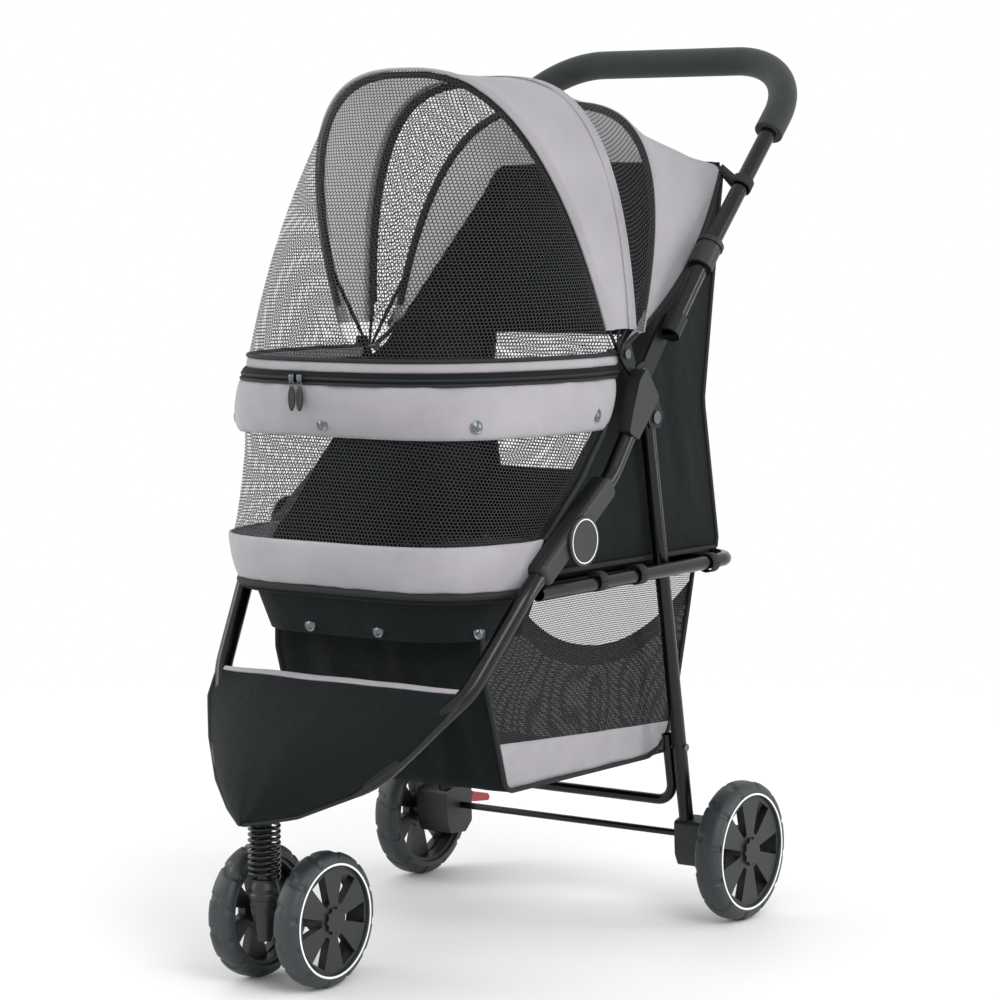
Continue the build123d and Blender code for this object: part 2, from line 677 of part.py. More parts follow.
with BuildPart() as pulls:
    for x in (-30, -19):
        with BuildSketch(Plane(origin=(x, CABIN_FRONT - 0.4, 612), x_dir=(1, 0, 0), z_dir=(0, -1, 0))):
            RectangleRounded(7, 26, 3)
        extrude(amount=2.4)
keep(pulls, "zipper_pulls")

# ---------------------------------------------------------------- hood hoops and covers


def hood_plane(angle):
    """The plane of a hoop: local x across the stroller, local y away from the hood pivot."""
    tilt = radians(angle)
    return Plane(origin=(0, *HOOD_PIVOT), x_dir=(1, 0, 0), z_dir=(0, -sin(tilt), cos(tilt)))


def arch(half, height, foot, square):
    """One side foot, over the top, to the other foot. square sets how far out the shoulders stand."""
    return [(half, foot), (half, square * height), (square * half, height),
            (-square * half, height), (-half, square * height), (-half, foot)]


SHOULDER = 0.62
ARCH_BENDS = [190, 115, 115, 190]
ROD_FOOT = 38.0
HOOP_ARM = 2.0
for name, (reach, angle, half) in HOOPS.items():
    place = hood_plane(angle)
    route = [place.from_local_coords(Vector(x, r, 0)) for x, r in arch(half, reach, ROD_FOOT, SHOULDER)]
    rod = bent_tube(route, ARCH_BENDS, HOOP_ROD_R, 0)
    with BuildPart() as hoop:
        add(rod.part)
        for side in (-1, 1):
            foot_plane = Plane(origin=(side * half - HOOP_ARM / 2, *HOOD_PIVOT),
                               x_dir=(0, cos(radians(angle)), sin(radians(angle))), z_dir=(1, 0, 0))
            with BuildSketch(foot_plane):
                Circle(6.5)
                with Locations((ROD_FOOT / 2 + 3, 0)):
                    Rectangle(ROD_FOOT + 6, 7)
                Circle(HOOD_PIN_R + RUNNING_GAP, mode=Mode.SUBTRACT)
            extrude(amount=HOOP_ARM)
    keep(hoop, f"hood_hoop_{name}")

COVER_WALL = 2.5
COVER_FOOT = 26.0


def hood_cover(sections):
    """A thin skin stretched between hoop planes. Each section is (angle, half width, reach, shoulder)."""
    with BuildPart() as cover:
        for angle, half, reach, square in sections:
            with BuildSketch(hood_plane(angle)):
                with BuildLine():
                    FilletPolyline(*arch(half, reach, COVER_FOOT, square), radius=90)
                    FilletPolyline(*arch(half - COVER_WALL, reach - COVER_WALL, COVER_FOOT, square), radius=88)
                    Line((half, COVER_FOOT), (half - COVER_WALL, COVER_FOOT))
                    Line((-half, COVER_FOOT), (-half + COVER_WALL, COVER_FOOT))
                make_face()
        loft(ruled=True)
    return cover


keep(hood_cover([(42.8, 154, 308, 0.72), (64.2, 165, 304, SHOULDER)]), "hood_rear_cover")
keep(hood_cover([(65.8, 165, 304, SHOULDER), (90.2, 166.5, 297, SHOULDER)]), "hood_mid_mesh")
keep(hood_cover([(91.8, 167.5, 297, SHOULDER), (116.7, 169, 340, SHOULDER)]), "hood_band")
keep(hood_cover([(118.3, 169, 340, SHOULDER), (148, 168.5, 314, 0.66), (181, 168, 300, 0.7)]), "hood_front_mesh")

# ---------------------------------------------------------------- basket under the cabin
BASKET_TOP = 395.5
BASKET_OUTLINE = [(-190, BASKET_TOP), (-190, 330), (-145, 188), (178, 187), (230, 390), (230, BASKET_TOP)]
BASKET_INSIDE = [(-187.5, 420), (-187.5, 330.5), (-143, 190.5), (176, 189.5), (227.4, 391), (227.4, 420)]
with BuildPart() as basket:
    with BuildSketch(across(-BASKET_HALF, 0, 0)):
        with BuildLine():
            Polyline(*BASKET_OUTLINE, close=True)
        make_face()
    extrude(amount=2 * BASKET_HALF)
    with BuildSketch(across(-BASKET_HALF + BASKET_WALL, 0, 0)):
        with BuildLine():
            Polyline(*BASKET_INSIDE, close=True)
        make_face()
    extrude(amount=2 * (BASKET_HALF - BASKET_WALL), mode=Mode.SUBTRACT)
    with BuildSketch(Plane(origin=(0, 190, 0), x_dir=(1, 0, 0), z_dir=(0, -1, 0))):
        with BuildLine():
            ThreePointArc((-126, 400), (0, 300), (126, 400))
            Line((126, 400), (-126, 400))
        make_face()
    extrude(amount=-60, mode=Mode.SUBTRACT)
keep(basket, "basket")

# ---------------------------------------------------------------- front apron over the converging tubes
APRON_TOP = (-264.0, 313.0)
APRON_TIP = (-424.0, 180.0)
APRON_CROWN = (-356.0, 262.0)
APRON_WALL = 2.5
apron_run = hypot(APRON_TIP[0] - APRON_TOP[0], APRON_TIP[1] - APRON_TOP[1])
apron_normal = ((APRON_TIP[1] - APRON_TOP[1]) / apron_run, -(APRON_TIP[0] - APRON_TOP[0]) / apron_run)
with BuildPart() as apron:
    with BuildSketch(across(-180, 0, 0)):
        with BuildLine():
            ThreePointArc(APRON_TOP, APRON_CROWN, APRON_TIP)
            offset(amount=APRON_WALL, side=Side.LEFT)
        make_face()
    extrude(amount=360)
    with BuildSketch(Plane(origin=(0, *APRON_TOP), x_dir=(1, 0, 0), z_dir=(0, *apron_normal))):
        with BuildLine():
            Line((-170, 4), (170, 4))
            Spline((170, 4), (156, -60), (130, -108), (80, -158), (32, -195), (0, -204),
                   (-32, -195), (-80, -158), (-130, -108), (-156, -60), (-170, 4))
        make_face()
    extrude(amount=80, both=True, mode=Mode.INTERSECT)
keep(apron, "front_apron")
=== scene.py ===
# A folding three-wheel pet stroller with a zipped mesh cabin: the finished look of every piece,
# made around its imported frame. Metres. The front faces -Y, +X is the side that the camera sees, +Z is up.
import json
from math import acos, copysign, cos, hypot, pi, radians, sin

import bmesh
import bpy
from mathutils import Matrix, Vector, noise

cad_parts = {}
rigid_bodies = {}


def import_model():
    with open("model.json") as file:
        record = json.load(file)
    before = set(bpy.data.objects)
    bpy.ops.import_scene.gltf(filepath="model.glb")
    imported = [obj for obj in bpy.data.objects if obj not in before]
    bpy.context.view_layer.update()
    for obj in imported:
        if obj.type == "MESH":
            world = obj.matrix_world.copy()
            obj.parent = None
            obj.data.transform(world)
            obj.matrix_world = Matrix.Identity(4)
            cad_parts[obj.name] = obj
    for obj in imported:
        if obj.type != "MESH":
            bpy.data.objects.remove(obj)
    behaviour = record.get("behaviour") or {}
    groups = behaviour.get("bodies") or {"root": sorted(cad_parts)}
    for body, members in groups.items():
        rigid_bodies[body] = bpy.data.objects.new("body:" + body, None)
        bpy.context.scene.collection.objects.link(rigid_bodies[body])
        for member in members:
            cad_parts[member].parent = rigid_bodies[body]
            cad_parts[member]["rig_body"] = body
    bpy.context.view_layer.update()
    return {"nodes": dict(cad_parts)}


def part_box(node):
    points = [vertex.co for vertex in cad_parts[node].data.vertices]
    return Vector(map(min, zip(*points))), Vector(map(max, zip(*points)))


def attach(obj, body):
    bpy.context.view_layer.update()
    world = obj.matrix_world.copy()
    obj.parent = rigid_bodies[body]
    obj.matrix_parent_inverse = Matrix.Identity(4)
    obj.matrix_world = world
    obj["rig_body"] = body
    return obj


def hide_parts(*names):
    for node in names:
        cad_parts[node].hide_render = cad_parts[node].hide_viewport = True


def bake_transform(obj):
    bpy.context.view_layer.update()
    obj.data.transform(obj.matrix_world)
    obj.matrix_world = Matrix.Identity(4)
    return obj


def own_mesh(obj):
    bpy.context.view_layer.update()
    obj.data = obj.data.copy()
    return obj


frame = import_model()
nodes = frame["nodes"]
bpy.ops.object.select_all(action="DESELECT")

# ---------------------------------------------------------------- camera, floor and studio light
# A portrait lens well back from the front right corner, a little above the cabin. A pale sweep
# of floor runs out into a white surround, and three large soft boxes draw thin lights on the tubes.
WHITE = (1.0, 1.0, 1.0, 1.0)
camera = bpy.data.objects.new("camera", bpy.data.cameras.new("camera"))
bpy.context.scene.collection.objects.link(camera)
camera.data.lens = 117.93
camera.data.sensor_width = 36
camera.location = (2.1512, -2.9918, 0.8174)
AIM = Vector((0, 0.0398, 0.483))
camera.rotation_euler = (AIM - camera.location).to_track_quat("-Z", "Y").to_euler()
bpy.context.scene.camera = camera
bpy.context.scene.view_settings.view_transform = "Standard"


def add_node(tree, kind, sockets=(), **settings):
    """Adds a shader node with its settings, and fills its sockets with values or links."""
    node = tree.nodes.new("ShaderNode" + kind)
    for name, value in settings.items():
        setattr(node, name, value)
    for name, value in dict(sockets).items():
        if isinstance(value, bpy.types.NodeSocket):
            tree.links.new(value, node.inputs[name])
        else:
            node.inputs[name].default_value = value
    return node


def linear(code):
    """An sRGB hex colour as linear red, green and blue with full alpha."""
    parts = [int(code[i:i + 2], 16) / 255 for i in (1, 3, 5)]
    return (*[c / 12.92 if c <= 0.04045 else ((c + 0.055) / 1.055) ** 2.4 for c in parts], 1.0)


def start_material(name):
    """A new material, with its node tree and its Principled shader."""
    material = bpy.data.materials.new(name)
    material.use_nodes = True
    return material, material.node_tree, material.node_tree.nodes["Principled BSDF"]


world = bpy.data.worlds.new("studio")
bpy.context.scene.world = world
world.use_nodes = True
world.node_tree.nodes["Background"].inputs["Color"].default_value = WHITE
SURROUND = 1.0
world.node_tree.nodes["Background"].inputs["Strength"].default_value = SURROUND

floor_paint, tree, shader = start_material("pale_floor")
shader.inputs["Base Color"].default_value = linear("#F2F2F2")
shader.inputs["Roughness"].default_value = 0.6
place = add_node(tree, "TexCoord").outputs["Object"]
reach = add_node(tree, "VectorMath", {0: place}, operation="LENGTH").outputs["Value"]
fade = add_node(tree, "MapRange", {"Value": reach, "From Min": 0.7, "From Max": 2.2},
                interpolation_type="SMOOTHSTEP").outputs["Result"]
glow = add_node(tree, "Emission", {"Color": WHITE, "Strength": SURROUND})
mix = add_node(tree, "MixShader", {0: fade, 1: shader.outputs[0], 2: glow.outputs[0]})
tree.links.new(mix.outputs[0], tree.nodes["Material Output"].inputs["Surface"])
bpy.ops.mesh.primitive_circle_add(vertices=96, radius=30, fill_type="NGON", location=(0, 0, -0.0005))
floor = bpy.context.object
floor.name = "floor"
floor.data.materials.append(floor_paint)

# Each soft box: name, place, width and height, watts
SOFT_BOXES = (
    ("key", (2.6, -1.6, 2.4), (1.6, 1.6), 46),
    ("side", (2.6, 1.4, 0.9), (0.5, 1.8), 22),
    ("far_side", (-2.4, -1.2, 1.5), (1.2, 1.6), 26),
)
for name, spot, size, power in SOFT_BOXES:
    lamp = bpy.data.objects.new(name, bpy.data.lights.new(name, "AREA"))
    bpy.context.scene.collection.objects.link(lamp)
    lamp.data.shape = "RECTANGLE"
    lamp.data.size, lamp.data.size_y = size
    lamp.data.energy = power
    lamp.location = spot
    lamp.rotation_euler = (AIM - lamp.location).to_track_quat("-Z", "Y").to_euler()


# ---------------------------------------------------------------- steel tubes
# Thin-walled steel tube, bent cold and dipped in black gloss enamel. The enamel levels into a
# smooth skin with a faint orange peel, so each tube shows one long thin light.
def dress(material, *names):
    for name in names:
        nodes[name].data.materials.clear()
        nodes[name].data.materials.append(material)


enamel, tree, shader = start_material("black_enamel_on_steel")
shader.inputs["Base Color"].default_value = linear("#050606")
shader.inputs["Coat Weight"].default_value = 0.2
shader.inputs["Specular IOR Level"].default_value = 0.25
shader.inputs["Coat Roughness"].default_value = 0.12
place = add_node(tree, "TexCoord").outputs["Object"]
PEEL = 0.0025
peel = add_node(tree, "TexNoise", {"Vector": place, "Scale": 1 / PEEL, "Detail": 1.0})
cloud = add_node(tree, "TexNoise", {"Vector": place, "Scale": 28.0, "Detail": 4.0})
gloss = add_node(tree, "MapRange", {"Value": cloud.outputs["Fac"], "To Min": 0.2, "To Max": 0.36})
tree.links.new(gloss.outputs["Result"], shader.inputs["Roughness"])
bump = add_node(tree, "Bump", {"Height": peel.outputs["Fac"], "Strength": 0.06, "Distance": 0.0004})
tree.links.new(bump.outputs["Normal"], shader.inputs["Normal"])
dress(enamel, "front_tube_left", "front_tube_right", "base_tube", "handle_tubes", "handle_bar", "rear_legs",
      "cross_brace", "axle_rod")

# ---------------------------------------------------------------- hinge plates and arms
# Pressed steel plate with a satin black powder coat: the baked powder leaves a fine even texture.
powder, tree, shader = start_material("satin_powder_coat")
shader.inputs["Base Color"].default_value = linear("#0B0F10")
shader.inputs["Specular IOR Level"].default_value = 0.25
place = add_node(tree, "TexCoord").outputs["Object"]
POWDER_GRAIN = 0.0009
grain = add_node(tree, "TexNoise", {"Vector": place, "Scale": 1 / POWDER_GRAIN, "Detail": 2.0})
cloud = add_node(tree, "TexNoise", {"Vector": place, "Scale": 40.0, "Detail": 3.0})
gloss = add_node(tree, "MapRange", {"Value": cloud.outputs["Fac"], "To Min": 0.36, "To Max": 0.5})
tree.links.new(gloss.outputs["Result"], shader.inputs["Roughness"])
bump = add_node(tree, "Bump", {"Height": grain.outputs["Fac"], "Strength": 0.25, "Distance": 0.0003})
tree.links.new(bump.outputs["Normal"], shader.inputs["Normal"])
dress(powder, "hinge_plates", "handle_arms")

# ---------------------------------------------------------------- moulded nylon fittings
# Glass-filled black nylon from a spark-eroded mould: a fine pebbled grain that turns a soft grey
# where the light grazes it, a little smoother and paler where hands and tubes rub.
nylon, tree, shader = start_material("moulded_black_nylon")
place = add_node(tree, "TexCoord").outputs["Object"]
PEBBLE = 0.0008
pebble = add_node(tree, "TexVoronoi", {"Vector": place, "Scale": 1 / PEBBLE}, feature="SMOOTH_F1")
cloud = add_node(tree, "TexNoise", {"Vector": place, "Scale": 22.0, "Detail": 5.0})
tint = add_node(tree, "MixRGB", {"Fac": cloud.outputs["Fac"], "Color1": linear("#0A0D0E"),
                                 "Color2": linear("#121718")})
tree.links.new(tint.outputs["Color"], shader.inputs["Base Color"])
gloss = add_node(tree, "MapRange", {"Value": cloud.outputs["Fac"], "To Min": 0.36, "To Max": 0.56})
tree.links.new(gloss.outputs["Result"], shader.inputs["Roughness"])
bump = add_node(tree, "Bump", {"Height": pebble.outputs["Distance"], "Strength": 0.2, "Distance": 0.0002})
tree.links.new(bump.outputs["Normal"], shader.inputs["Normal"])
dress(nylon, "front_hub", "joint_sleeves", "joint_caps", "hinge_housings", "handle_ferrules",
      "ferrule_button_left", "ferrule_button_right", "wheel_brackets", "caster_stem", "caster_fork",
      "cabin_board", "front_wheel_left_rim", "front_wheel_right_rim", "rear_wheel_left_rim",
      "rear_wheel_right_rim")

# ---------------------------------------------------------------- screws, rivets, pins and axles
# Steel with a dark nickel plate. Heads are turned and tumbled, so they are bright on the rims and
# cloudy on the flats.
gunmetal, tree, shader = start_material("dark_nickel_plate")
shader.inputs["Metallic"].default_value = 1.0
place = add_node(tree, "TexCoord").outputs["Object"]
cloud = add_node(tree, "TexNoise", {"Vector": place, "Scale": 300.0, "Detail": 4.0})
tint = add_node(tree, "MixRGB", {"Fac": cloud.outputs["Fac"], "Color1": linear("#4E5254"),
                                 "Color2": linear("#7C8083")})
tree.links.new(tint.outputs["Color"], shader.inputs["Base Color"])
gloss = add_node(tree, "MapRange", {"Value": cloud.outputs["Fac"], "To Min": 0.2, "To Max": 0.45})
tree.links.new(gloss.outputs["Result"], shader.inputs["Roughness"])
dress(gunmetal, "frame_screws", "hinge_pins", "hood_pivot_pins", "leg_pins", "front_axle")

# ---------------------------------------------------------------- brake pedals
# Red polypropylene, moulded glossy, with faint flow marks along the tread plate.
red_plastic, tree, shader = start_material("moulded_red_polypropylene")
place = add_node(tree, "TexCoord").outputs["Object"]
flow = add_node(tree, "TexNoise", {"Vector": place, "Scale": 90.0, "Detail": 3.0})
tint = add_node(tree, "MixRGB", {"Fac": flow.outputs["Fac"], "Color1": linear("#8E1F1E"),
                                 "Color2": linear("#A82A26")})
tree.links.new(tint.outputs["Color"], shader.inputs["Base Color"])
gloss = add_node(tree, "MapRange", {"Value": flow.outputs["Fac"], "To Min": 0.3, "To Max": 0.45})
tree.links.new(gloss.outputs["Result"], shader.inputs["Roughness"])
dress(red_plastic, "brake_pedal_left", "brake_pedal_right")

# ---------------------------------------------------------------- handle grip
# A sleeve of closed-cell foam pushed on over the bar. Its cut skin is dead matt and finely
# pitted, and light catches only on the top of the bend.
foam, tree, shader = start_material("closed_cell_foam")
place = add_node(tree, "TexCoord").outputs["Object"]
CELL = 0.0014
cells = add_node(tree, "TexVoronoi", {"Vector": place, "Scale": 1 / CELL})
cloud = add_node(tree, "TexNoise", {"Vector": place, "Scale": 60.0, "Detail": 5.0})
tint = add_node(tree, "MixRGB", {"Fac": cloud.outputs["Fac"], "Color1": linear("#151B1B"),
                                 "Color2": linear("#222A2A")})
tree.links.new(tint.outputs["Color"], shader.inputs["Base Color"])
shader.inputs["Roughness"].default_value = 0.88
shader.inputs["Sheen Weight"].default_value = 0.15
bump = add_node(tree, "Bump", {"Height": cells.outputs["Distance"], "Strength": 0.5, "Distance": 0.0004})
tree.links.new(bump.outputs["Normal"], shader.inputs["Normal"])
dress(foam, "handle_grip")

# ---------------------------------------------------------------- tyres
# Solid EVA foam tyres moulded in one piece: a round crown, crescent lugs sunk into both
# shoulders, and a white line printed on a bead where the outer wall meets the rim.
eva, tree, shader = start_material("moulded_eva_foam")
place = add_node(tree, "TexCoord").outputs["Object"]
cloud = add_node(tree, "TexNoise", {"Vector": place, "Scale": 35.0, "Detail": 6.0})
tint = add_node(tree, "MixRGB", {"Fac": cloud.outputs["Fac"], "Color1": linear("#1D2325"),
                                 "Color2": linear("#2B3335")})
tree.links.new(tint.outputs["Color"], shader.inputs["Base Color"])
gloss = add_node(tree, "MapRange", {"Value": cloud.outputs["Fac"], "To Min": 0.4, "To Max": 0.6})
tree.links.new(gloss.outputs["Result"], shader.inputs["Roughness"])
EVA_SKIN = 0.0011
skin = add_node(tree, "TexNoise", {"Vector": place, "Scale": 1 / EVA_SKIN, "Detail": 2.0})
bump = add_node(tree, "Bump", {"Height": skin.outputs["Fac"], "Strength": 0.12, "Distance": 0.0003})
tree.links.new(bump.outputs["Normal"], shader.inputs["Normal"])

white_print, tree, shader = start_material("white_pad_print")
place = add_node(tree, "TexCoord").outputs["Object"]
cloud = add_node(tree, "TexNoise", {"Vector": place, "Scale": 400.0, "Detail": 3.0})
tint = add_node(tree, "MixRGB", {"Fac": cloud.outputs["Fac"], "Color1": linear("#D9DCDD"),
                                 "Color2": linear("#F4F5F6")})
tree.links.new(tint.outputs["Color"], shader.inputs["Base Color"])
shader.inputs["Roughness"].default_value = 0.45

LUGS = 12
AROUND = 288


def ease(value):
    """0 below 0, 1 above 1, and a smooth step between."""
    value = min(max(value, 0.0), 1.0)
    return value * value * (3 - 2 * value)


def lug_depth(along, across_wall, radius):
    """How far a crescent lug is sunk at a place on the shoulder, all in metres."""
    pitch = 2 * pi * radius / LUGS
    along = (along % pitch) - pitch / 2
    outer = hypot(along, across_wall) - 0.0105
    inner = hypot(along - 0.006, across_wall - 0.004) - 0.0085
    return 0.0016 * ease(-outer / 0.0018) * ease(inner / 0.0018)


def make_tyre(name, out):
    """Revolves the tyre's section about its axle. out is +1 or -1, the side that has the white line."""
    low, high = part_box(name)
    centre = (low + high) / 2
    radius = (high.z - low.z) / 2
    half = (high.x - low.x) / 2
    seat = 0.8 * radius
    wall = [(0.0, radius), (0.3, radius - 0.0002), (0.52, radius - 0.0009), (0.7, radius - 0.0024),
            (0.84, radius - 0.0048), (0.93, radius - 0.0076), (0.985, radius - 0.0105),
            (0.985, seat + 0.0042), (0.96, seat + 0.0034), (1.0, seat + 0.0029), (1.0, seat + 0.0009),
            (0.93, seat + 0.0004), (0.88, seat)]
    section = [(-f * half, r) for f, r in reversed(wall[1:])] + [(f * half, r) for f, r in wall]
    bpy.ops.mesh.primitive_circle_add(vertices=len(section), radius=radius)
    tyre = bpy.context.object
    tyre.name = name + "_moulded"
    for vertex, (x, r) in zip(tyre.data.vertices, section):
        vertex.co = (centre.x + x, centre.y, centre.z + r)
    bpy.ops.object.mode_set(mode="EDIT")
    bpy.ops.mesh.select_all(action="SELECT")
    bpy.ops.mesh.subdivide(number_cuts=2)
    bpy.ops.mesh.spin(steps=AROUND, angle=2 * pi, center=centre, axis=(1, 0, 0))
    bpy.ops.mesh.select_all(action="SELECT")
    bpy.ops.mesh.remove_doubles(threshold=0.00002)
    bpy.ops.mesh.normals_make_consistent(inside=False)
    bpy.ops.object.mode_set(mode="OBJECT")
    tyre.data.materials.append(eva)
    tyre.data.materials.append(white_print)
    shoulder = radius - 0.0062
    for vertex in tyre.data.vertices:
        spoke = Vector((0, vertex.co.y - centre.y, vertex.co.z - centre.z))
        if spoke.length > seat + 0.006:
            side = copysign(1, vertex.co.x - centre.x)
            turn = acos(max(-1, min(1, spoke.z / spoke.length))) * copysign(1, spoke.y) * side
            across_wall = (spoke.length - shoulder) - (half * 0.86 - abs(vertex.co.x - centre.x))
            depth = lug_depth((turn + 2 * pi) * radius, across_wall, radius)
            vertex.co -= spoke.normalized() * depth * 0.7
            vertex.co.x -= side * depth * 0.7
    for face in tyre.data.polygons:
        spoke = hypot(face.center.y - centre.y, face.center.z - centre.z)
        on_bead = seat + 0.0007 < spoke < seat + 0.0031
        if on_bead and (face.center.x - centre.x) * out > 0.955 * half:
            face.material_index = 1
    bpy.ops.object.shade_smooth_by_angle(angle=radians(40))
    tyre.select_set(False)
    body = nodes[name]["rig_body"]
    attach(tyre, body)
    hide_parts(name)
    return tyre


for hand, out in (("left", -1), ("right", 1)):
    make_tyre(f"rear_wheel_{hand}_tyre", out)
    make_tyre(f"front_wheel_{hand}_tyre", out)

# ---------------------------------------------------------------- suspension spring
# Black enamelled music wire wound nine and a half turns, closed at both ends, seated between the
# dome of the swivel and the hub.
low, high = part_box("suspension_spring")
WIRE = 0.002
TURNS = 9.5
coil_x = (high.x - low.x) / 2 - WIRE
bpy.ops.mesh.primitive_circle_add(vertices=16, radius=WIRE, location=(coil_x, -0.385, low.z + WIRE),
                                  rotation=(pi / 2, 0, 0), fill_type="NGON")
spring = bpy.context.object
spring.name = "spring_coil"
bpy.ops.object.transform_apply(location=True, rotation=True, scale=True)
for vertex in spring.data.vertices:
    vertex.co.y += 0.385
spring.modifiers.new("wind", "SCREW")
wind = spring.modifiers["wind"]
wind.angle = 2 * pi * TURNS
wind.screw_offset = high.z - low.z - 2 * WIRE
wind.steps = wind.render_steps = int(TURNS * 40)
wind.use_merge_vertices = True
wind.use_normal_calculate = True
bpy.ops.object.modifier_apply(modifier="wind")
for vertex in spring.data.vertices:
    vertex.co.y -= 0.385
bpy.ops.object.mode_set(mode="EDIT")
bpy.ops.mesh.select_all(action="SELECT")
bpy.ops.mesh.remove_doubles(threshold=0.00001)
bpy.ops.mesh.select_all(action="DESELECT")
bpy.ops.mesh.select_non_manifold()
bpy.ops.mesh.edge_face_add()
bpy.ops.mesh.select_all(action="SELECT")
bpy.ops.mesh.normals_make_consistent(inside=False)
bpy.ops.object.mode_set(mode="OBJECT")
bpy.ops.object.shade_smooth_by_angle(angle=radians(50))
spring.data.materials.append(enamel)
spring.select_set(False)
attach(spring, "chassis")
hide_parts("suspension_spring")
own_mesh(spring)

# ---------------------------------------------------------------- cloths and net
# Warm grey and black polyester in a plain weave, soft to the light and a little brighter at
# grazing angles, and black polyester net knitted in open hexagons. The weave is drawn at 1.1 mm,
# coarser than real threads, so that it shows. The hood's grey cloth lets some light through.
THREAD = 0.0011
WAVE_PERIOD = pi / 10  # length of one band of the wave texture at scale 1


def woven(name, dark, light, sheen, crease, glow=0.0):
    """Plain-weave cloth on its own UV map in metres. glow is how much light comes through it."""
    cloth, tree, shader = start_material(name)
    place = add_node(tree, "UVMap", uv_map="cloth").outputs["UV"]
    solid = add_node(tree, "TexCoord").outputs["Object"]
    warp = add_node(tree, "TexWave", {"Vector": place, "Scale": WAVE_PERIOD / THREAD, "Distortion": 0.3},
                    bands_direction="X")
    weft = add_node(tree, "TexWave", {"Vector": place, "Scale": WAVE_PERIOD / THREAD, "Distortion": 0.3},
                    bands_direction="Y")
    weave = add_node(tree, "Math", {0: warp.outputs["Fac"], 1: weft.outputs["Fac"]}, operation="MULTIPLY")
    slub = add_node(tree, "TexNoise", {"Vector": place, "Scale": 900.0, "Detail": 3.0})
    cloud = add_node(tree, "TexNoise", {"Vector": solid, "Scale": 9.0, "Detail": 5.0})
    shade = add_node(tree, "Math", {0: slub.outputs["Fac"], 1: weave.outputs["Value"]}, operation="MULTIPLY")
    blend = add_node(tree, "Math", {0: cloud.outputs["Fac"], 1: shade.outputs["Value"]}, operation="ADD")
    tint = add_node(tree, "MixRGB", {"Fac": blend.outputs["Value"], "Color1": linear(dark),
                                     "Color2": linear(light)})
    tree.links.new(tint.outputs["Color"], shader.inputs["Base Color"])
    shader.inputs["Roughness"].default_value = 0.82
    shader.inputs["Sheen Weight"].default_value = sheen
    shader.inputs["Sheen Roughness"].default_value = 0.45
    folds = add_node(tree, "TexNoise", {"Vector": solid, "Scale": 38.0, "Detail": 2.0, "Distortion": 1.2})
    soft = add_node(tree, "Bump", {"Height": folds.outputs["Fac"], "Strength": crease, "Distance": 0.004})
    bump = add_node(tree, "Bump", {"Height": weave.outputs["Value"], "Strength": 0.35, "Distance": 0.0003,
                                   "Normal": soft.outputs["Normal"]})
    tree.links.new(bump.outputs["Normal"], shader.inputs["Normal"])
    shader.inputs["Specular IOR Level"].default_value = 0.2
    if glow:
        through = add_node(tree, "BsdfTranslucent", {"Color": linear("#E4E1E4")})
        both = add_node(tree, "MixShader", {0: glow, 1: shader.outputs["BSDF"], 2: through.outputs["BSDF"]})
        surface = next(n for n in tree.nodes if n.type == "OUTPUT_MATERIAL").inputs["Surface"]
        tree.links.new(both.outputs["Shader"], surface)
    return cloth


grey_cloth = woven("grey_polyester_weave", "#7A777C", "#AAA7AC", 0.2, 0.25)
black_cloth = woven("black_polyester_weave", "#04090A", "#0E1516", 0.02, 0.4)
hood_cloth = woven("grey_hood_weave", "#8A878C", "#BAB7BC", 0.2, 0.25, glow=0.38)


def netting(name, pitch, strand):
    """Knitted hexagon net on the UV map: clear holes, pitch apart, between strands of that width."""
    net, tree, shader = start_material(name)
    place = add_node(tree, "UVMap", uv_map="cloth").outputs["UV"]
    grid = add_node(tree, "VectorMath", {0: place, "Scale": 1 / pitch}, operation="SCALE").outputs["Vector"]
    half_row = 3 ** 0.5 / 2
    nearest = None
    for shift in ((0.0, 0.0, 0.0), (0.5, half_row, 0.0)):
        moved = add_node(tree, "VectorMath", {0: grid, 1: shift}, operation="ADD").outputs["Vector"]
        cell = add_node(tree, "VectorMath", {0: moved, 1: (0.5, half_row, 1.0), 2: (-0.5, -half_row, -1.0)},
                        operation="WRAP").outputs["Vector"]
        folded = add_node(tree, "VectorMath", {0: cell}, operation="ABSOLUTE").outputs["Vector"]
        slant = add_node(tree, "VectorMath", {0: folded, 1: (0.5, half_row, 0.0)},
                         operation="DOT_PRODUCT").outputs["Value"]
        upright = add_node(tree, "SeparateXYZ", {0: folded}).outputs["X"]
        out = add_node(tree, "Math", {0: slant, 1: upright}, operation="MAXIMUM").outputs["Value"]
        if nearest is None:
            nearest = out
        else:
            nearest = add_node(tree, "Math", {0: nearest, 1: out}, operation="MINIMUM").outputs["Value"]
    edge = 0.5 - strand / pitch / 2
    solid = add_node(tree, "MapRange", {"Value": nearest, "From Min": edge - 0.03, "From Max": edge + 0.03})
    tree.links.new(solid.outputs["Result"], shader.inputs["Alpha"])
    yarn = add_node(tree, "TexNoise", {"Vector": place, "Scale": 1400.0, "Detail": 2.0})
    tint = add_node(tree, "MixRGB", {"Fac": yarn.outputs["Fac"], "Color1": linear("#070A0A"),
                                     "Color2": linear("#141A1A")})
    tree.links.new(tint.outputs["Color"], shader.inputs["Base Color"])
    shader.inputs["Roughness"].default_value = 0.7
    return net


wide_net = netting("black_hexagon_net", 0.0045, 0.0011)
fine_net = netting("fine_black_net", 0.0028, 0.0010)
close_net = netting("close_black_net", 0.0022, 0.0018)


def fit(piece, body, stands_for=None):
    """Fixes a finished piece to a moving body and in place of a plain node."""
    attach(piece, body)
    if stands_for:
        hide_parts(stands_for)


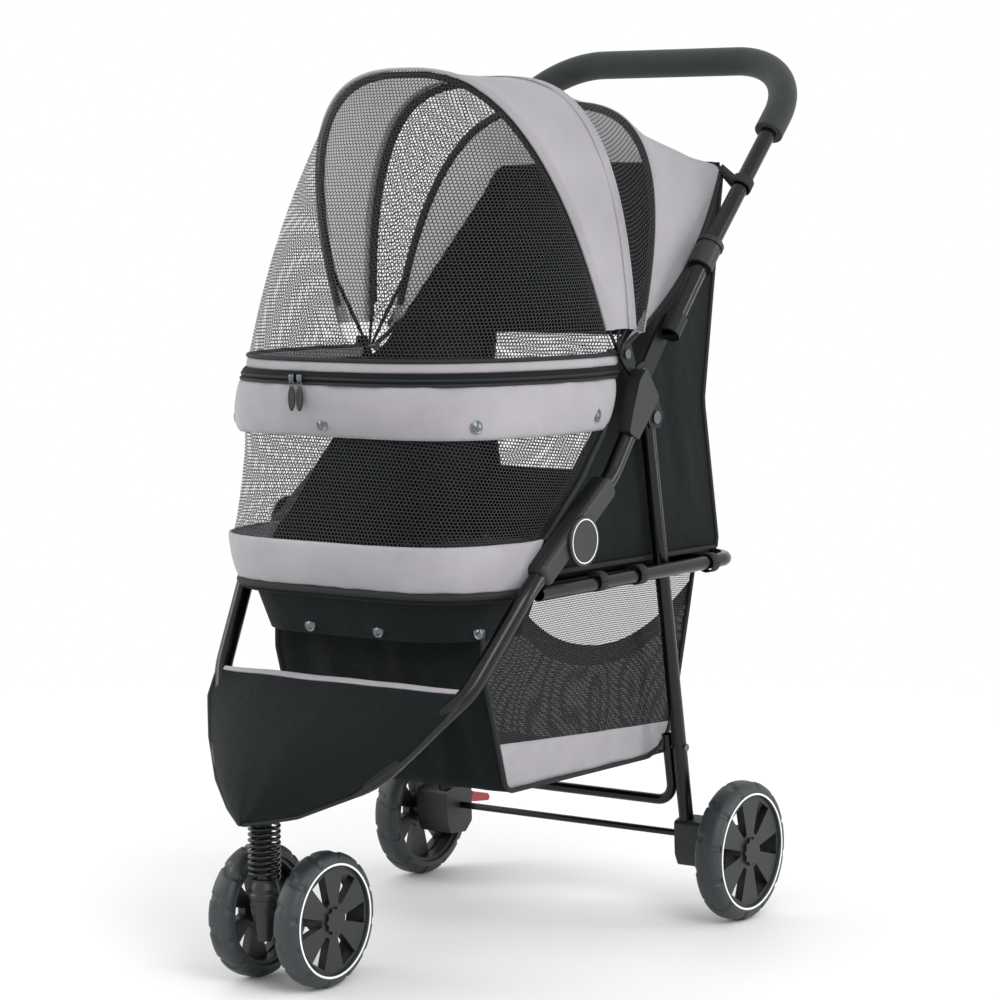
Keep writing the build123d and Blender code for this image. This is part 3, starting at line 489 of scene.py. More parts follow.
def evenly(line, count):
    """The same line with count points at equal steps along it."""
    run = [0.0]
    for a, b in zip(line, line[1:]):
        run.append(run[-1] + (b - a).length)
    found = []
    i = 0
    for k in range(count):
        target = run[-1] * k / (count - 1)
        while i < len(line) - 2 and run[i + 1] < target:
            i += 1
        step = run[i + 1] - run[i]
        found.append(line[i].lerp(line[i + 1], (target - run[i]) / step if step else 0.0))
    return found


def sew(name, rows, cloth, inside, wall=0.0012, window=None):
    """A sheet of cloth through rows of points, laid out flat on its cloth UV map in metres by the lengths
    of its rows and columns as modelled. inside is a point behind the cloth. window is an opening:
    half its width, its sill and its head."""
    wide = len(rows[0])
    mesh = bpy.data.meshes.new(name)
    corners = [(r * wide + c, r * wide + c + 1, (r + 1) * wide + c + 1, (r + 1) * wide + c)
               for r in range(len(rows) - 1) for c in range(wide - 1)]
    mesh.from_pydata([p for row in rows for p in row], [], corners)
    across = [[0.0] for _ in rows]
    for r, row in enumerate(rows):
        for a, b in zip(row, row[1:]):
            across[r].append(across[r][-1] + (b - a).length)
    along = [[0.0] * wide]
    for below, above in zip(rows, rows[1:]):
        along.append([v + (b - a).length for v, a, b in zip(along[-1], below, above)])
    uv = mesh.uv_layers.new(name="cloth")
    for loop in mesh.loops:
        r, c = divmod(loop.vertex_index, wide)
        uv.data[loop.index].uv = (across[r][c] - across[r][-1] / 2, along[r][c])
    facing = sum((f.center - inside).dot(f.normal) * f.area for f in mesh.polygons)
    if facing < 0:
        mesh.flip_normals()
    if window:
        cut = bmesh.new()
        cut.from_mesh(mesh)
        pane = [f for f in cut.faces if abs(f.calc_center_median().x) < window[0]
                and window[1] < f.calc_center_median().z < window[2]]
        bmesh.ops.delete(cut, geom=pane, context="FACES")
        cut.to_mesh(mesh)
        cut.free()
    mesh.shade_smooth()
    mesh.materials.append(cloth)
    sheet = bpy.data.objects.new(name, mesh)
    bpy.context.scene.collection.objects.link(sheet)
    if wall:
        thick = sheet.modifiers.new("cloth_thickness", "SOLIDIFY")
        thick.thickness = wall
        thick.offset = -1
        thick.use_even_offset = True
    return sheet


def cord_edge(name, line, radius, cloth, body, closed=False):
    """A round piping or bound edge sewn along a line."""
    curve = bpy.data.curves.new(name, "CURVE")
    curve.dimensions = "3D"
    curve.bevel_depth = radius
    curve.bevel_resolution = 2
    curve.use_fill_caps = True
    spline = curve.splines.new("POLY")
    spline.points.add(len(line) - 1)
    spline.use_cyclic_u = closed
    for point, p in zip(spline.points, line):
        point.co = (*p, 1.0)
    edge = bpy.data.objects.new(name, curve)
    bpy.context.scene.collection.objects.link(edge)
    mesh = bpy.data.meshes.new_from_object(edge)
    bpy.data.objects.remove(edge)
    edge = bpy.data.objects.new(name, mesh)
    bpy.context.scene.collection.objects.link(edge)
    mesh.shade_smooth()
    mesh.materials.clear()
    mesh.materials.append(cloth)
    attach(edge, body)
    return edge


binding, tree, shader = start_material("black_grosgrain_binding")
place = add_node(tree, "TexCoord").outputs["Object"]
rib = add_node(tree, "TexNoise", {"Vector": place, "Scale": 700.0, "Detail": 2.0})
tint = add_node(tree, "MixRGB", {"Fac": rib.outputs["Fac"], "Color1": linear("#060808"),
                                 "Color2": linear("#121616")})
tree.links.new(tint.outputs["Color"], shader.inputs["Base Color"])
shader.inputs["Roughness"].default_value = 0.75
bump = add_node(tree, "Bump", {"Height": rib.outputs["Fac"], "Strength": 0.4, "Distance": 0.0004})
tree.links.new(bump.outputs["Normal"], shader.inputs["Normal"])

# ---------------------------------------------------------------- cabin wall
# One long wall sewn from strips: a padded grey lower band on the tray, a net window, a grey upper
# band with snap studs, and the zip that the hood closes on. It is stretched round the front and
# pinched in where the frame tubes pass.
CABIN_HEART = Vector((0, -0.05, 0.52))
COLUMNS = 161
TUBE_LINE = [(0.409, -0.180), (0.522, -0.020), (0.594, 0.012), (0.700, 0.012)]
WALL_END = [(0.395, -0.168), (0.404, -0.165), (0.458, -0.135), (0.471, -0.116), (0.570, -0.014),
            (0.640, 0.011), (0.700, 0.020)]


def along_height(table, z):
    """Reads a (height, y) outline at a height."""
    for (z0, y0), (z1, y1) in zip(table, table[1:]):
        if z <= z1:
            return y0 + (y1 - y0) * max(0.0, (z - z0) / (z1 - z0))
    return table[-1][1]


def wall_row(z, half, depth, power, end=None):
    """One level of the cabin wall from its far end, round the front, to its near end."""
    if end is None:
        end = along_height(WALL_END, z)
    line = []
    for k in range(-90, 91):
        turn = k / 90 * pi / 2
        y = -depth * cos(turn) ** (2 / power)
        if y < end:
            line.append(Vector((half * copysign(abs(sin(turn)) ** (2 / power), turn), y, z)))
    if end < 0:
        side = half * (1 - (-end / depth) ** power) ** (1 / power)
    else:
        side = half
    line = [Vector((-side, end, z)), *line, Vector((side, end, z))]
    tube_y = along_height(TUBE_LINE, z)
    for p in line:
        limit = 0.1765 + 0.0125 * ease((tube_y - p.y - 0.01) / 0.08)
        p.x = copysign(min(abs(p.x), limit), p.x)
    return evenly(line, COLUMNS)


def gathered(rows, swell, pucker, grain):
    """Swells a strip between its seams and puckers it beside them, as stretched cloth does."""
    shaped = []
    for r, row in enumerate(rows):
        v = r / (len(rows) - 1)
        near_seam = max(1 - v / 0.3, 1 - (1 - v) / 0.3, 0.0)
        new = []
        for c, p in enumerate(row):
            out = Vector((p.x, p.y + 0.12, 0)).normalized()
            wave = noise.noise(Vector((p.x / grain, p.y / grain, p.z / 0.05 + 7)))
            roll = noise.noise(Vector((p.x / 0.07, p.y / 0.07, p.z / 0.035)))
            fade = ease(min(c, COLUMNS - 1 - c) / 10)
            push = swell * (4 * v * (1 - v)) ** 0.7
            push = push + pucker * wave * near_seam * fade + 0.5 * pucker * roll * fade
            new.append(p + out * push)
        shaped.append(new)
    return shaped


def levels(low, high, count):
    """Wall rows between two levels, each (z, half width, depth, power)."""
    return [wall_row(*[a + (b - a) * k / (count - 1) for a, b in zip(low, high)]) for k in range(count)]


def flatten_with_handle(piece):
    """Gives the piece a copy of its mesh of its own."""
    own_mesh(piece)


lower_rows = levels((0.4115, 0.181, 0.272, 4.6), (0.463, 0.188, 0.2945, 4.0), 15)
lower_band = sew("lower_band", gathered(lower_rows, 0.004, 0.0022, 0.02), grey_cloth, CABIN_HEART, 0.002)
fit(lower_band, "chassis", "cabin_lower_band")
flatten_with_handle(lower_band)

window_rows = levels((0.461, 0.1855, 0.2915, 4.0), (0.584, 0.182, 0.271, 4.0), 23)
window = sew("window_net", gathered(window_rows, -0.004, 0.0008, 0.05), wide_net, CABIN_HEART, 0.0)
fit(window, "chassis", "cabin_window")
flatten_with_handle(window)

upper_rows = levels((0.573, 0.186, 0.276, 4.0), (0.630, 0.187, 0.291, 3.2), 17)
upper_band = sew("upper_band", gathered(upper_rows, 0.006, 0.0028, 0.022), grey_cloth, CABIN_HEART, 0.002)
fit(upper_band, "chassis", "cabin_upper_band")
flatten_with_handle(upper_band)

zip_rows = levels((0.6285, 0.186, 0.289, 3.2), (0.643, 0.1845, 0.290, 3.1), 7)
zip_tape = sew("zip_tape", gathered(zip_rows, 0.0035, 0.0012, 0.03), black_cloth, CABIN_HEART, 0.0016)
fit(zip_tape, "chassis", "cabin_zipper")
flatten_with_handle(zip_tape)

RIM = (0.654, 0.183, 0.288, 3.0)
rim_rows = levels((0.6425, 0.1845, 0.2895, 3.0), RIM, 6)
rim_strip = sew("hood_rim_strip", gathered(rim_rows, 0.0015, 0.0006, 0.05), grey_cloth, CABIN_HEART, 0.0016)
fit(rim_strip, "hood_front")


def lifted(row, out, up):
    """A row moved outwards and up, for an edge that lies on the cloth."""
    return [p + Vector((p.x, p.y + 0.12, 0)).normalized() * out + Vector((0, 0, up)) for p in row]


piping = {
    "tray_piping": (wall_row(0.4095, 0.181, 0.272, 4.6), 0.0042, "chassis"),
    "zip_coil": (lifted(wall_row(0.6358, 0.185, 0.2895, 3.1), 0.0036, 0.0), 0.0016, "chassis"),
    "zip_flap_edge": (lifted(wall_row(0.6305, 0.186, 0.290, 3.2), 0.0022, 0.0), 0.0017, "chassis"),
    "rim_piping": (lifted(wall_row(*RIM), 0.0008, 0.0014), 0.0024, "hood_front"),
}
for name, (line, radius, body) in piping.items():
    edge = cord_edge(name, line, radius, binding, body)
    if body == "chassis":
        flatten_with_handle(edge)
for side, hand in ((-1, "left"), (1, "right")):
    column = 0 if side < 0 else -1
    ends = [row[column] for row in window_rows]
    edge = cord_edge(f"window_binding_{hand}", ends, 0.0034, binding, "chassis")
    flatten_with_handle(edge)

# ---------------------------------------------------------------- snap studs and zip pulls
# Five dark nickel snap studs are riveted through the upper band, each a domed cap in a rolled
# ring. The zip has two sliders, each with a wire ring and a rubbery tab with an oval dimple.
STUD_R = 0.0066


def snap_stud(name, spot, out, body):
    """A domed cap with a rolled rim, set on the cloth and facing out."""
    bpy.ops.mesh.primitive_circle_add(vertices=28, radius=STUD_R, fill_type="NGON")
    stud = bpy.context.object
    stud.name = name
    bpy.ops.object.mode_set(mode="EDIT")
    for scale, rise in ((1.06, 0.0005), (1.02, 0.0007), (0.9, 0.0003), (0.84, -0.0003), (0.8, 0.0004),
                        (0.72, 0.0007), (0.66, 0.0004), (0.5, 0.0002)):
        bpy.ops.mesh.extrude_region_move(TRANSFORM_OT_translate={"value": (0, 0, rise)})
        bpy.ops.transform.resize(value=(scale, scale, 1))
    bpy.ops.object.mode_set(mode="OBJECT")
    turn = out.to_track_quat("Z", "Y").to_matrix().to_4x4()
    stud.data.transform(Matrix.Translation(spot - out * 0.0004) @ turn)
    bpy.ops.object.shade_smooth_by_angle(angle=radians(35))
    stud.data.materials.append(gunmetal)
    stud.select_set(False)
    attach(stud, body)
    return stud


def wall_spot(rows, v, x):
    """The place on a strip where it crosses a width x, and which way it faces there."""
    row = rows[round(v * (len(rows) - 1))]
    c = min(range(3, COLUMNS - 3), key=lambda k: abs(row[k].x - x) + (1 if row[k].y > 0.1 else 0))
    run = (row[c + 2] - row[c - 2]).normalized()
    return row[c], run.cross(Vector((0, 0, 1))).normalized()


upper_shaped = gathered(upper_rows, 0.006, 0.0028, 0.022)
studs = []
for k, x in enumerate((-0.163, 0.0, 0.163)):
    spot, out = wall_spot(upper_shaped, 0.26, x)
    studs.append(snap_stud(f"snap_stud_{k}", spot, out, "chassis"))
for side in (-1, 1):
    row = upper_shaped[5]
    c = 8 if side < 0 else COLUMNS - 9
    studs.append(snap_stud(f"snap_stud_side_{side + 1}", row[c], Vector((side, 0, 0)), "chassis"))
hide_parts("snap_buttons")
for stud in studs:
    flatten_with_handle(stud)

for k, x in enumerate((-0.031, -0.019)):
    spot, out = wall_spot(upper_shaped, 0.98, x)
    spot = spot + out * 0.0042
    bpy.ops.mesh.primitive_cube_add(size=0.0075, location=spot + Vector((0, 0, 0.006)))
    slider = bpy.context.object
    slider.name = f"zip_slider_{k}"
    bpy.ops.object.mode_set(mode="EDIT")
    bpy.ops.transform.resize(value=(0.9, 0.75, 1.0))
    bpy.ops.mesh.bevel(offset=0.0016, segments=3, affect="EDGES")
    bpy.ops.object.mode_set(mode="OBJECT")
    bpy.ops.object.transform_apply(location=True, rotation=True, scale=True)
    slider.data.materials.append(gunmetal)
    bpy.ops.object.shade_smooth_by_angle(angle=radians(40))
    slider.select_set(False)
    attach(slider, "chassis")
    bpy.ops.mesh.primitive_uv_sphere_add(segments=32, ring_count=16, radius=0.0068,
                                         location=spot + Vector((0, -0.001, -0.016)))
    tab = bpy.context.object
    tab.name = f"zip_pull_{k}"
    bpy.ops.object.mode_set(mode="EDIT")
    bpy.ops.transform.resize(value=(0.72, 0.28, 2.0))
    bpy.ops.object.mode_set(mode="OBJECT")
    bpy.ops.object.transform_apply(location=True, rotation=True, scale=True)
    middle = spot + Vector((0, -0.001, -0.016))
    for vertex in tab.data.vertices:
        away = hypot((vertex.co.x - middle.x) / 0.0027, (vertex.co.z - middle.z - 0.001) / 0.0085)
        if vertex.co.y < middle.y:
            vertex.co.y += 0.0009 * ease(1.6 - away)
    tab.data.materials.append(nylon)
    tab.data.shade_smooth()
    tab.select_set(False)
    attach(tab, "chassis")
    ring = [spot + Vector((0.0028 * cos(a), -0.001, -0.002 + 0.0045 * sin(a))) for a in
            [2 * pi * n / 20 for n in range(20)]]
    loop = cord_edge(f"zip_ring_{k}", ring, 0.0006, gunmetal, "chassis", closed=True)
    for piece in (slider, tab, loop):
        flatten_with_handle(piece)
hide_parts("zipper_pulls")

# ---------------------------------------------------------------- cabin sides and back
# Black cloth panels close the cabin behind the frame tubes, hemmed with a bound edge. The back
# panel folds in at the hinge height and has a net window in its lower half.
BACK_LINE = [(0.4215, 0.249), (0.432, 0.251), (0.594, 0.219), (0.720, 0.237), (0.860, 0.258)]
FRONT_LINE = [(0.4215, -0.170), (0.458, -0.150), (0.471, -0.130), (0.570, -0.030), (0.636, -0.006),
              (0.645, 0.016), (0.656, 0.030), (0.856, 0.256)]
SIDE_X = 0.1585
for side, hand in ((-1, "left"), (1, "right")):
    rows = []
    for k in range(45):
        z = 0.4215 + (0.857 - 0.4215) * k / 44
        y0, y1 = along_height(FRONT_LINE, z), along_height(BACK_LINE, z)
        row = []
        for n in range(41):
            y = y0 + (y1 - y0) * n / 40
            meet = 0.0145 * (1 - ease((y - y0) / 0.05)) * ease((0.66 - z) / 0.03)
            edge = ease(min(n, 40 - n) / 6) * ease(min(k, 44 - k) / 4)
            fold = noise.noise(Vector((y / 0.045, z / 0.16, side * 3))) + 0.5 * noise.noise(
                Vector(((y + z * 0.4) / 0.02, z / 0.09, side * 9)))
            row.append(Vector((side * (SIDE_X + meet + edge * (0.0018 + 0.0034 * fold)), y, z)))
        rows.append(row)
    panel = sew(f"side_panel_{hand}", rows, black_cloth, CABIN_HEART, 0.0016)
    fit(panel, "chassis")
    if side < 0:
        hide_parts("cabin_sides")
    corner = [Vector((side * (SIDE_X + 0.001), along_height(BACK_LINE, z), z)) for z in
              [0.4215 + (0.862 - 0.4215) * k / 40 for k in range(41)]]
    cord_edge(f"back_corner_piping_{hand}", corner, 0.0026, binding, "chassis")
    sill = [Vector((side * SIDE_X, y, 0.4215)) for y in (-0.17, -0.05, 0.1, 0.249)]
    cord_edge(f"side_sill_binding_{hand}", sill, 0.003, binding, "chassis")

WINDOW_HALF, WINDOW_LOW, WINDOW_HIGH = 0.142, 0.501, 0.668
back_z = [0.405, 0.4215, 0.45, 0.475, WINDOW_LOW]
back_z += [WINDOW_LOW + (WINDOW_HIGH - WINDOW_LOW) * k / 12 for k in range(1, 13)]
back_z += [WINDOW_HIGH + (0.867 - WINDOW_HIGH) * k / 14 for k in range(1, 15)]
back_x = [-0.1575, -0.150] + [WINDOW_HALF * (k / 10 - 1) for k in range(21)] + [0.150, 0.1575]


def back_row(z, widths):
    """One level of the back panel, bowed out a little between its corners."""
    y = along_height(BACK_LINE, z) - 0.001
    row = []
    for x in widths:
        ripple = 0.002 * noise.noise(Vector((x / 0.06, z / 0.06, 4)))
        row.append(Vector((x, y + 0.006 * (1 - (x / 0.158) ** 2) + ripple, z)))
    return row


back = sew("back_panel", [back_row(z, back_x) for z in back_z], black_cloth, CABIN_HEART, 0.0016, window=(
    WINDOW_HALF, WINDOW_LOW, WINDOW_HIGH))
fit(back, "chassis", "cabin_back")
pane_z = [WINDOW_LOW - 0.004 + (WINDOW_HIGH - WINDOW_LOW + 0.008) * k / 12 for k in range(13)]
pane_x = [(WINDOW_HALF + 0.004) * (k / 12 - 1) for k in range(25)]
back_net = sew("back_window_net", [back_row(z, pane_x) for z in pane_z], wide_net, CABIN_HEART, 0.0)
fit(back_net, "chassis")
frame_line = [Vector((x, 0, z)) for x, z in ((-WINDOW_HALF, WINDOW_LOW), (WINDOW_HALF, WINDOW_LOW),
                                             (WINDOW_HALF, WINDOW_HIGH), (-WINDOW_HALF, WINDOW_HIGH),
                                             (-WINDOW_HALF, WINDOW_LOW))]
frame_line = evenly(frame_line, 120)
for p in frame_line:
    p.y = back_row(p.z, [p.x])[0].y + 0.001
cord_edge("back_window_binding", frame_line, 0.0026, binding, "chassis")

# ---------------------------------------------------------------- tray and floor mat
# The tray is a shallow cloth tub round the board. On it lies a quilted mat: polyester wadding in
# a black cover, blown up by its filling and drawn down along two sewn channels.
tray_rows = [[p * 1.0 for p in wall_row(0.4115, 0.180, 0.271, 4.6, end=0.23)]]
for inset, z in ((0.0, 0.4025), (0.004, 0.4005), (0.03, 0.4003), (0.08, 0.4003)):
    tray_rows.append([Vector((p.x * (1 - inset / 0.18), (p.y + 0.03) * (1 - inset / 0.25) - 0.03, z))
                      for p in tray_rows[0]])
tray_rows = [[Vector((copysign(min(abs(p.x), 0.1595 if p.y > -0.13 else 0.18), p.x), p.y, p.z)) for p in row]
             for row in tray_rows]
tray = sew("cabin_tray", tray_rows, black_cloth, Vector((0, -0.05, 0.45)), 0.0014)
fit(tray, "chassis", "cabin_pan")

rear_rows = [[Vector((0.158 * (n / 10 - 1), y, z)) for n in range(21)] for y, z in
             ((0.180, 0.4001), (0.215, 0.4001), (0.243, 0.4003), (0.249, 0.406), (0.2505, 0.424))]
tray_rear = sew("tray_rear", rear_rows, black_cloth, Vector((0, 0.10, 0.50)), 0.0014)
fit(tray_rear, "chassis")

low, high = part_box("floor_mat")
middle = (low + high) / 2
bpy.ops.mesh.primitive_cube_add(size=1, location=middle)
mat = bpy.context.object
mat.name = "quilted_mat"
bpy.ops.object.mode_set(mode="EDIT")
bpy.ops.transform.resize(value=(high.x - low.x - 0.014, high.y - low.y - 0.014, high.z - low.z - 0.008))
bpy.ops.object.mode_set(mode="OBJECT")
bpy.ops.object.transform_apply(location=True, rotation=True, scale=True)
upright = bmesh.new()
upright.from_mesh(mat.data)
posts = [e for e in upright.edges if abs(e.verts[0].co.z - e.verts[1].co.z) > 0.005]
bmesh.ops.bevel(upright, geom=posts, offset=0.052, segments=8, profile=0.5, affect="EDGES")
upright.to_mesh(mat.data)
upright.free()
mat.modifiers.new("remesh", "REMESH")
mat.modifiers["remesh"].mode = "VOXEL"
mat.modifiers["remesh"].voxel_size = 0.0055
bpy.ops.object.modifier_apply(modifier="remesh")
before = [v.co.copy() for v in mat.data.vertices]
wadding = mat.modifiers.new("wadding", "CLOTH")
wadding.settings.quality = 4
wadding.settings.mass = 0.2
wadding.settings.use_pressure = True
wadding.settings.uniform_pressure_force = 4
wadding.settings.effector_weights.gravity = 0
for moment in range(1, 21):
    bpy.context.scene.frame_set(moment)
bpy.ops.object.modifier_apply(modifier="wadding")
bpy.context.scene.frame_set(1)
SWELL = 0.006
for vertex, start in zip(mat.data.vertices, before):
    move = vertex.co - start
    if move.length > SWELL:
        vertex.co = start + move.normalized() * SWELL
    channel = min(abs(vertex.co.y - middle.y - d) for d in (-0.115, 0.0, 0.115))
    if vertex.co.z > middle.z:
        vertex.co.z -= 0.0035 * ease(1 - channel / 0.009)
    vertex.co.z = max(vertex.co.z, low.z)
mat.modifiers.new("round", "SUBSURF")
mat.modifiers["round"].levels = mat.modifiers["round"].render_levels = 1
bpy.ops.object.modifier_apply(modifier="round")
mat.data.shade_smooth()
wadded, tree, shader = start_material("quilted_black_cover")
place = add_node(tree, "TexCoord").outputs["Object"]
cloud = add_node(tree, "TexNoise", {"Vector": place, "Scale": 45.0, "Detail": 6.0})
tint = add_node(tree, "MixRGB", {"Fac": cloud.outputs["Fac"], "Color1": linear("#1A1E20"),
                                 "Color2": linear("#3A4043")})
tree.links.new(tint.outputs["Color"], shader.inputs["Base Color"])
shader.inputs["Roughness"].default_value = 0.8
knit = add_node(tree, "TexVoronoi", {"Vector": place, "Scale": 1 / THREAD})
bump = add_node(tree, "Bump", {"Height": knit.outputs["Distance"], "Strength": 0.4, "Distance": 0.0004})
tree.links.new(bump.outputs["Normal"], shader.inputs["Normal"])
mat.data.materials.append(wadded)
mat.select_set(False)
fit(mat, "chassis", "floor_mat")

# ---------------------------------------------------------------- hood hoops
# Three flat-ended spring steel hoops fan about one stud on each side. Each runs in a black tape
# sleeve sewn inside the covers.
# Each hoop: half width, height, squareness, foot y, foot z, lean from the rear in degrees
ARCHES = {
    "front": (0.183, 0.352, 2.64, -0.001, 0.639, 113.3),
    "mid": (0.183, 0.377, 3.17, 0.045, 0.582, 94.5),
    "rear": (0.175, 0.302, 2.93, 0.060, 0.648, 72.4),
}
STACK = {"front": 0.1742, "mid": 0.1718, "rear": 0.1694}
HOOD_PIVOT = Vector((0, 0.020, 0.655))
HOOD_HEART = Vector((0, 0.02, 0.72))


def arch(name, shrink=0.0, above=0.0):
    """A hoop's line from the far foot over the top to the near foot, kept above a height."""
    half, height, square, y, z, lean = ARCHES[name]
    line = []
    for k in range(181):
        turn = pi * (1 - k / 180)
        x = (half - shrink) * copysign(abs(cos(turn)) ** (2 / square), cos(turn))
        r = (height - shrink) * sin(turn) ** (2 / square)
        p = Vector((x, y + r * cos(radians(lean)), z + r * sin(radians(lean))))
        if p.z >= above:
            line.append(p)
    return line


for name in ARCHES:
    line = arch(name, shrink=0.006, above=0.74)
    stack = STACK[name]
    arms = []
    for side, foot in ((-1, line[0]), (1, line[-1])):
        pivot = Vector((side * stack, HOOD_PIVOT.y, HOOD_PIVOT.z))
        bend = pivot.lerp(Vector((side * stack, foot.y, foot.z)), 0.4)
        arms.append([pivot, pivot.lerp(bend, 0.5), bend, bend.lerp(foot, 0.5)])
    route = arms[0] + evenly(line, 60) + list(reversed(arms[1]))
    hoop = cord_edge(f"hoop_rod_{name}", route, 0.0024, powder, f"hood_{name}")
    for vertex in hoop.data.vertices:
        from_pivot = hypot(vertex.co.y - HOOD_PIVOT.y, vertex.co.z - HOOD_PIVOT.z)
        pressed = ease(1.4 - from_pivot / 0.03)
        centre_x = copysign(stack, vertex.co.x)
        if pressed > 0:
            vertex.co.x = centre_x + (vertex.co.x - centre_x) * (1 - 0.6 * pressed)
    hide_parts(f"hood_hoop_{name}")
    width = 0.0045 if name != "front" else 0.003
    sleeve_line = evenly(arch(name, shrink=0.004, above=0.70), 120)
    sleeve = cord_edge(f"hoop_sleeve_{name}", sleeve_line, width, binding, f"hood_{name}")

# ---------------------------------------------------------------- hood covers
# Four covers are sewn from hoop to hoop: a net front that zips to the cabin, a grey band, a net
# vent, and a grey rear canopy that ends on the back panel. Each crosses one step of the fan.
ROWS = 11


def stretched_between(first, last, rows, dip):
    """Rows of cloth from one edge line to another, dipping in or out between them."""
    made = []
    for r in range(rows):
        v = r / (rows - 1)
        made.append([a.lerp(b, v) + (a.lerp(b, v) - HOOD_HEART).normalized() * dip * 4 * v * (1 - v)
                     * min(1.0, (a - b).length / 0.06) for a, b in zip(first, last)])
    return made


def puckered(rows, size, seed):
    """Small soft hollows across a hood cover, fading out at its seams."""
    made = []
    for r, row in enumerate(rows):
        v = r / (len(rows) - 1)
        hold = ease(min(v, 1 - v) / 0.18)
        made.append([p + (p - HOOD_HEART).normalized() * size * hold * noise.noise(
            Vector((p.x / 0.05, p.y / 0.035, p.z / 0.05 + seed))) for p in row])
    return made


def bridge_joint(piece):
    """Bakes the cover's placement into its mesh."""
    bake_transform(piece)


rim_line = wall_row(*RIM)
front_line = evenly(arch("front", above=0.655), COLUMNS)
net_rows = stretched_between(rim_line, front_line, 31, 0.010)
net_front = sew("hood_front_net", net_rows, wide_net, HOOD_HEART, 0.0)
fit(net_front, "hood_front", "hood_front_mesh")

front_top = evenly(arch("front", shrink=-0.002, above=0.676), COLUMNS)
mid_top = evenly(arch("mid", shrink=-0.002, above=0.676), COLUMNS)
rear_top = evenly(arch("rear", above=0.672), COLUMNS)
band_rows = puckered(stretched_between(front_top, mid_top, ROWS, -0.002), 0.003, 1)
band = sew("hood_grey_band", band_rows, hood_cloth, HOOD_HEART, 0.0)
bridge_joint(band)
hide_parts("hood_band")

for name, edge, other, wide in (("front", front_top, mid_top, 0.015), ("mid", mid_top, front_top, 0.012)):
    hem_rows = []
    for reach in (0.0, 0.3, 0.65, 1.0):
        row = []
        for a, b in zip(edge, other):
            p = a + (b - a).normalized() * min(wide, 0.3 * (b - a).length) * reach
            row.append(p + (p - HOOD_HEART).normalized() * (0.0016 if 0 < reach < 1 else 0.0006))
        hem_rows.append(row)
    hem = sew(f"hood_band_hem_{name}", hem_rows, hood_cloth, HOOD_HEART, 0.0)
    bridge_joint(hem)

vent_rows = stretched_between(mid_top, rear_top, ROWS, -0.004)
vent = sew("hood_vent_net", vent_rows, wide_net, HOOD_HEART, 0.0)
bridge_joint(vent)
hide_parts("hood_mid_mesh")

slant = []
for k in range(21):
    u = k / 20
    bow = 0.024 * sin(pi * u)
    y = 0.032 + 0.224 * u + bow * 0.7
    z = 0.658 + 0.201 * u - bow * 0.7
    slant.append(Vector((0.1695 - 0.010 * u ** 4, y, z)))
edge_line = [Vector((-p.x, p.y, p.z)) for p in slant]
edge_line += [Vector((-0.150, 0.2585, 0.865)), Vector((0, 0.2635, 0.8675)), Vector((0.150, 0.2585, 0.865))]
edge_line += list(reversed(slant))
canopy_edge = evenly(edge_line, COLUMNS)
canopy_rows = puckered(stretched_between(rear_top, canopy_edge, 21, -0.006), 0.004, 5)
for row in canopy_rows:
    for p in row:
        p.x = copysign(min(abs(p.x), 0.1752), p.x)
canopy = sew("hood_rear_canopy", canopy_rows, hood_cloth, HOOD_HEART, 0.0)
bridge_joint(canopy)
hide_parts("hood_rear_cover")
cord_edge("canopy_edge_piping", canopy_edge, 0.0028, binding, "chassis")
grey_piping = {"hood_piping_mid": (mid_top, "hood_mid"), "hood_piping_rear": (rear_top, "hood_rear"),
               "hood_piping_front": (front_top, "hood_front")}
for name, (line, body) in grey_piping.items():
    edge = cord_edge(name, line, 0.0012 if body == "hood_rear" else 0.0018, grey_cloth, body)

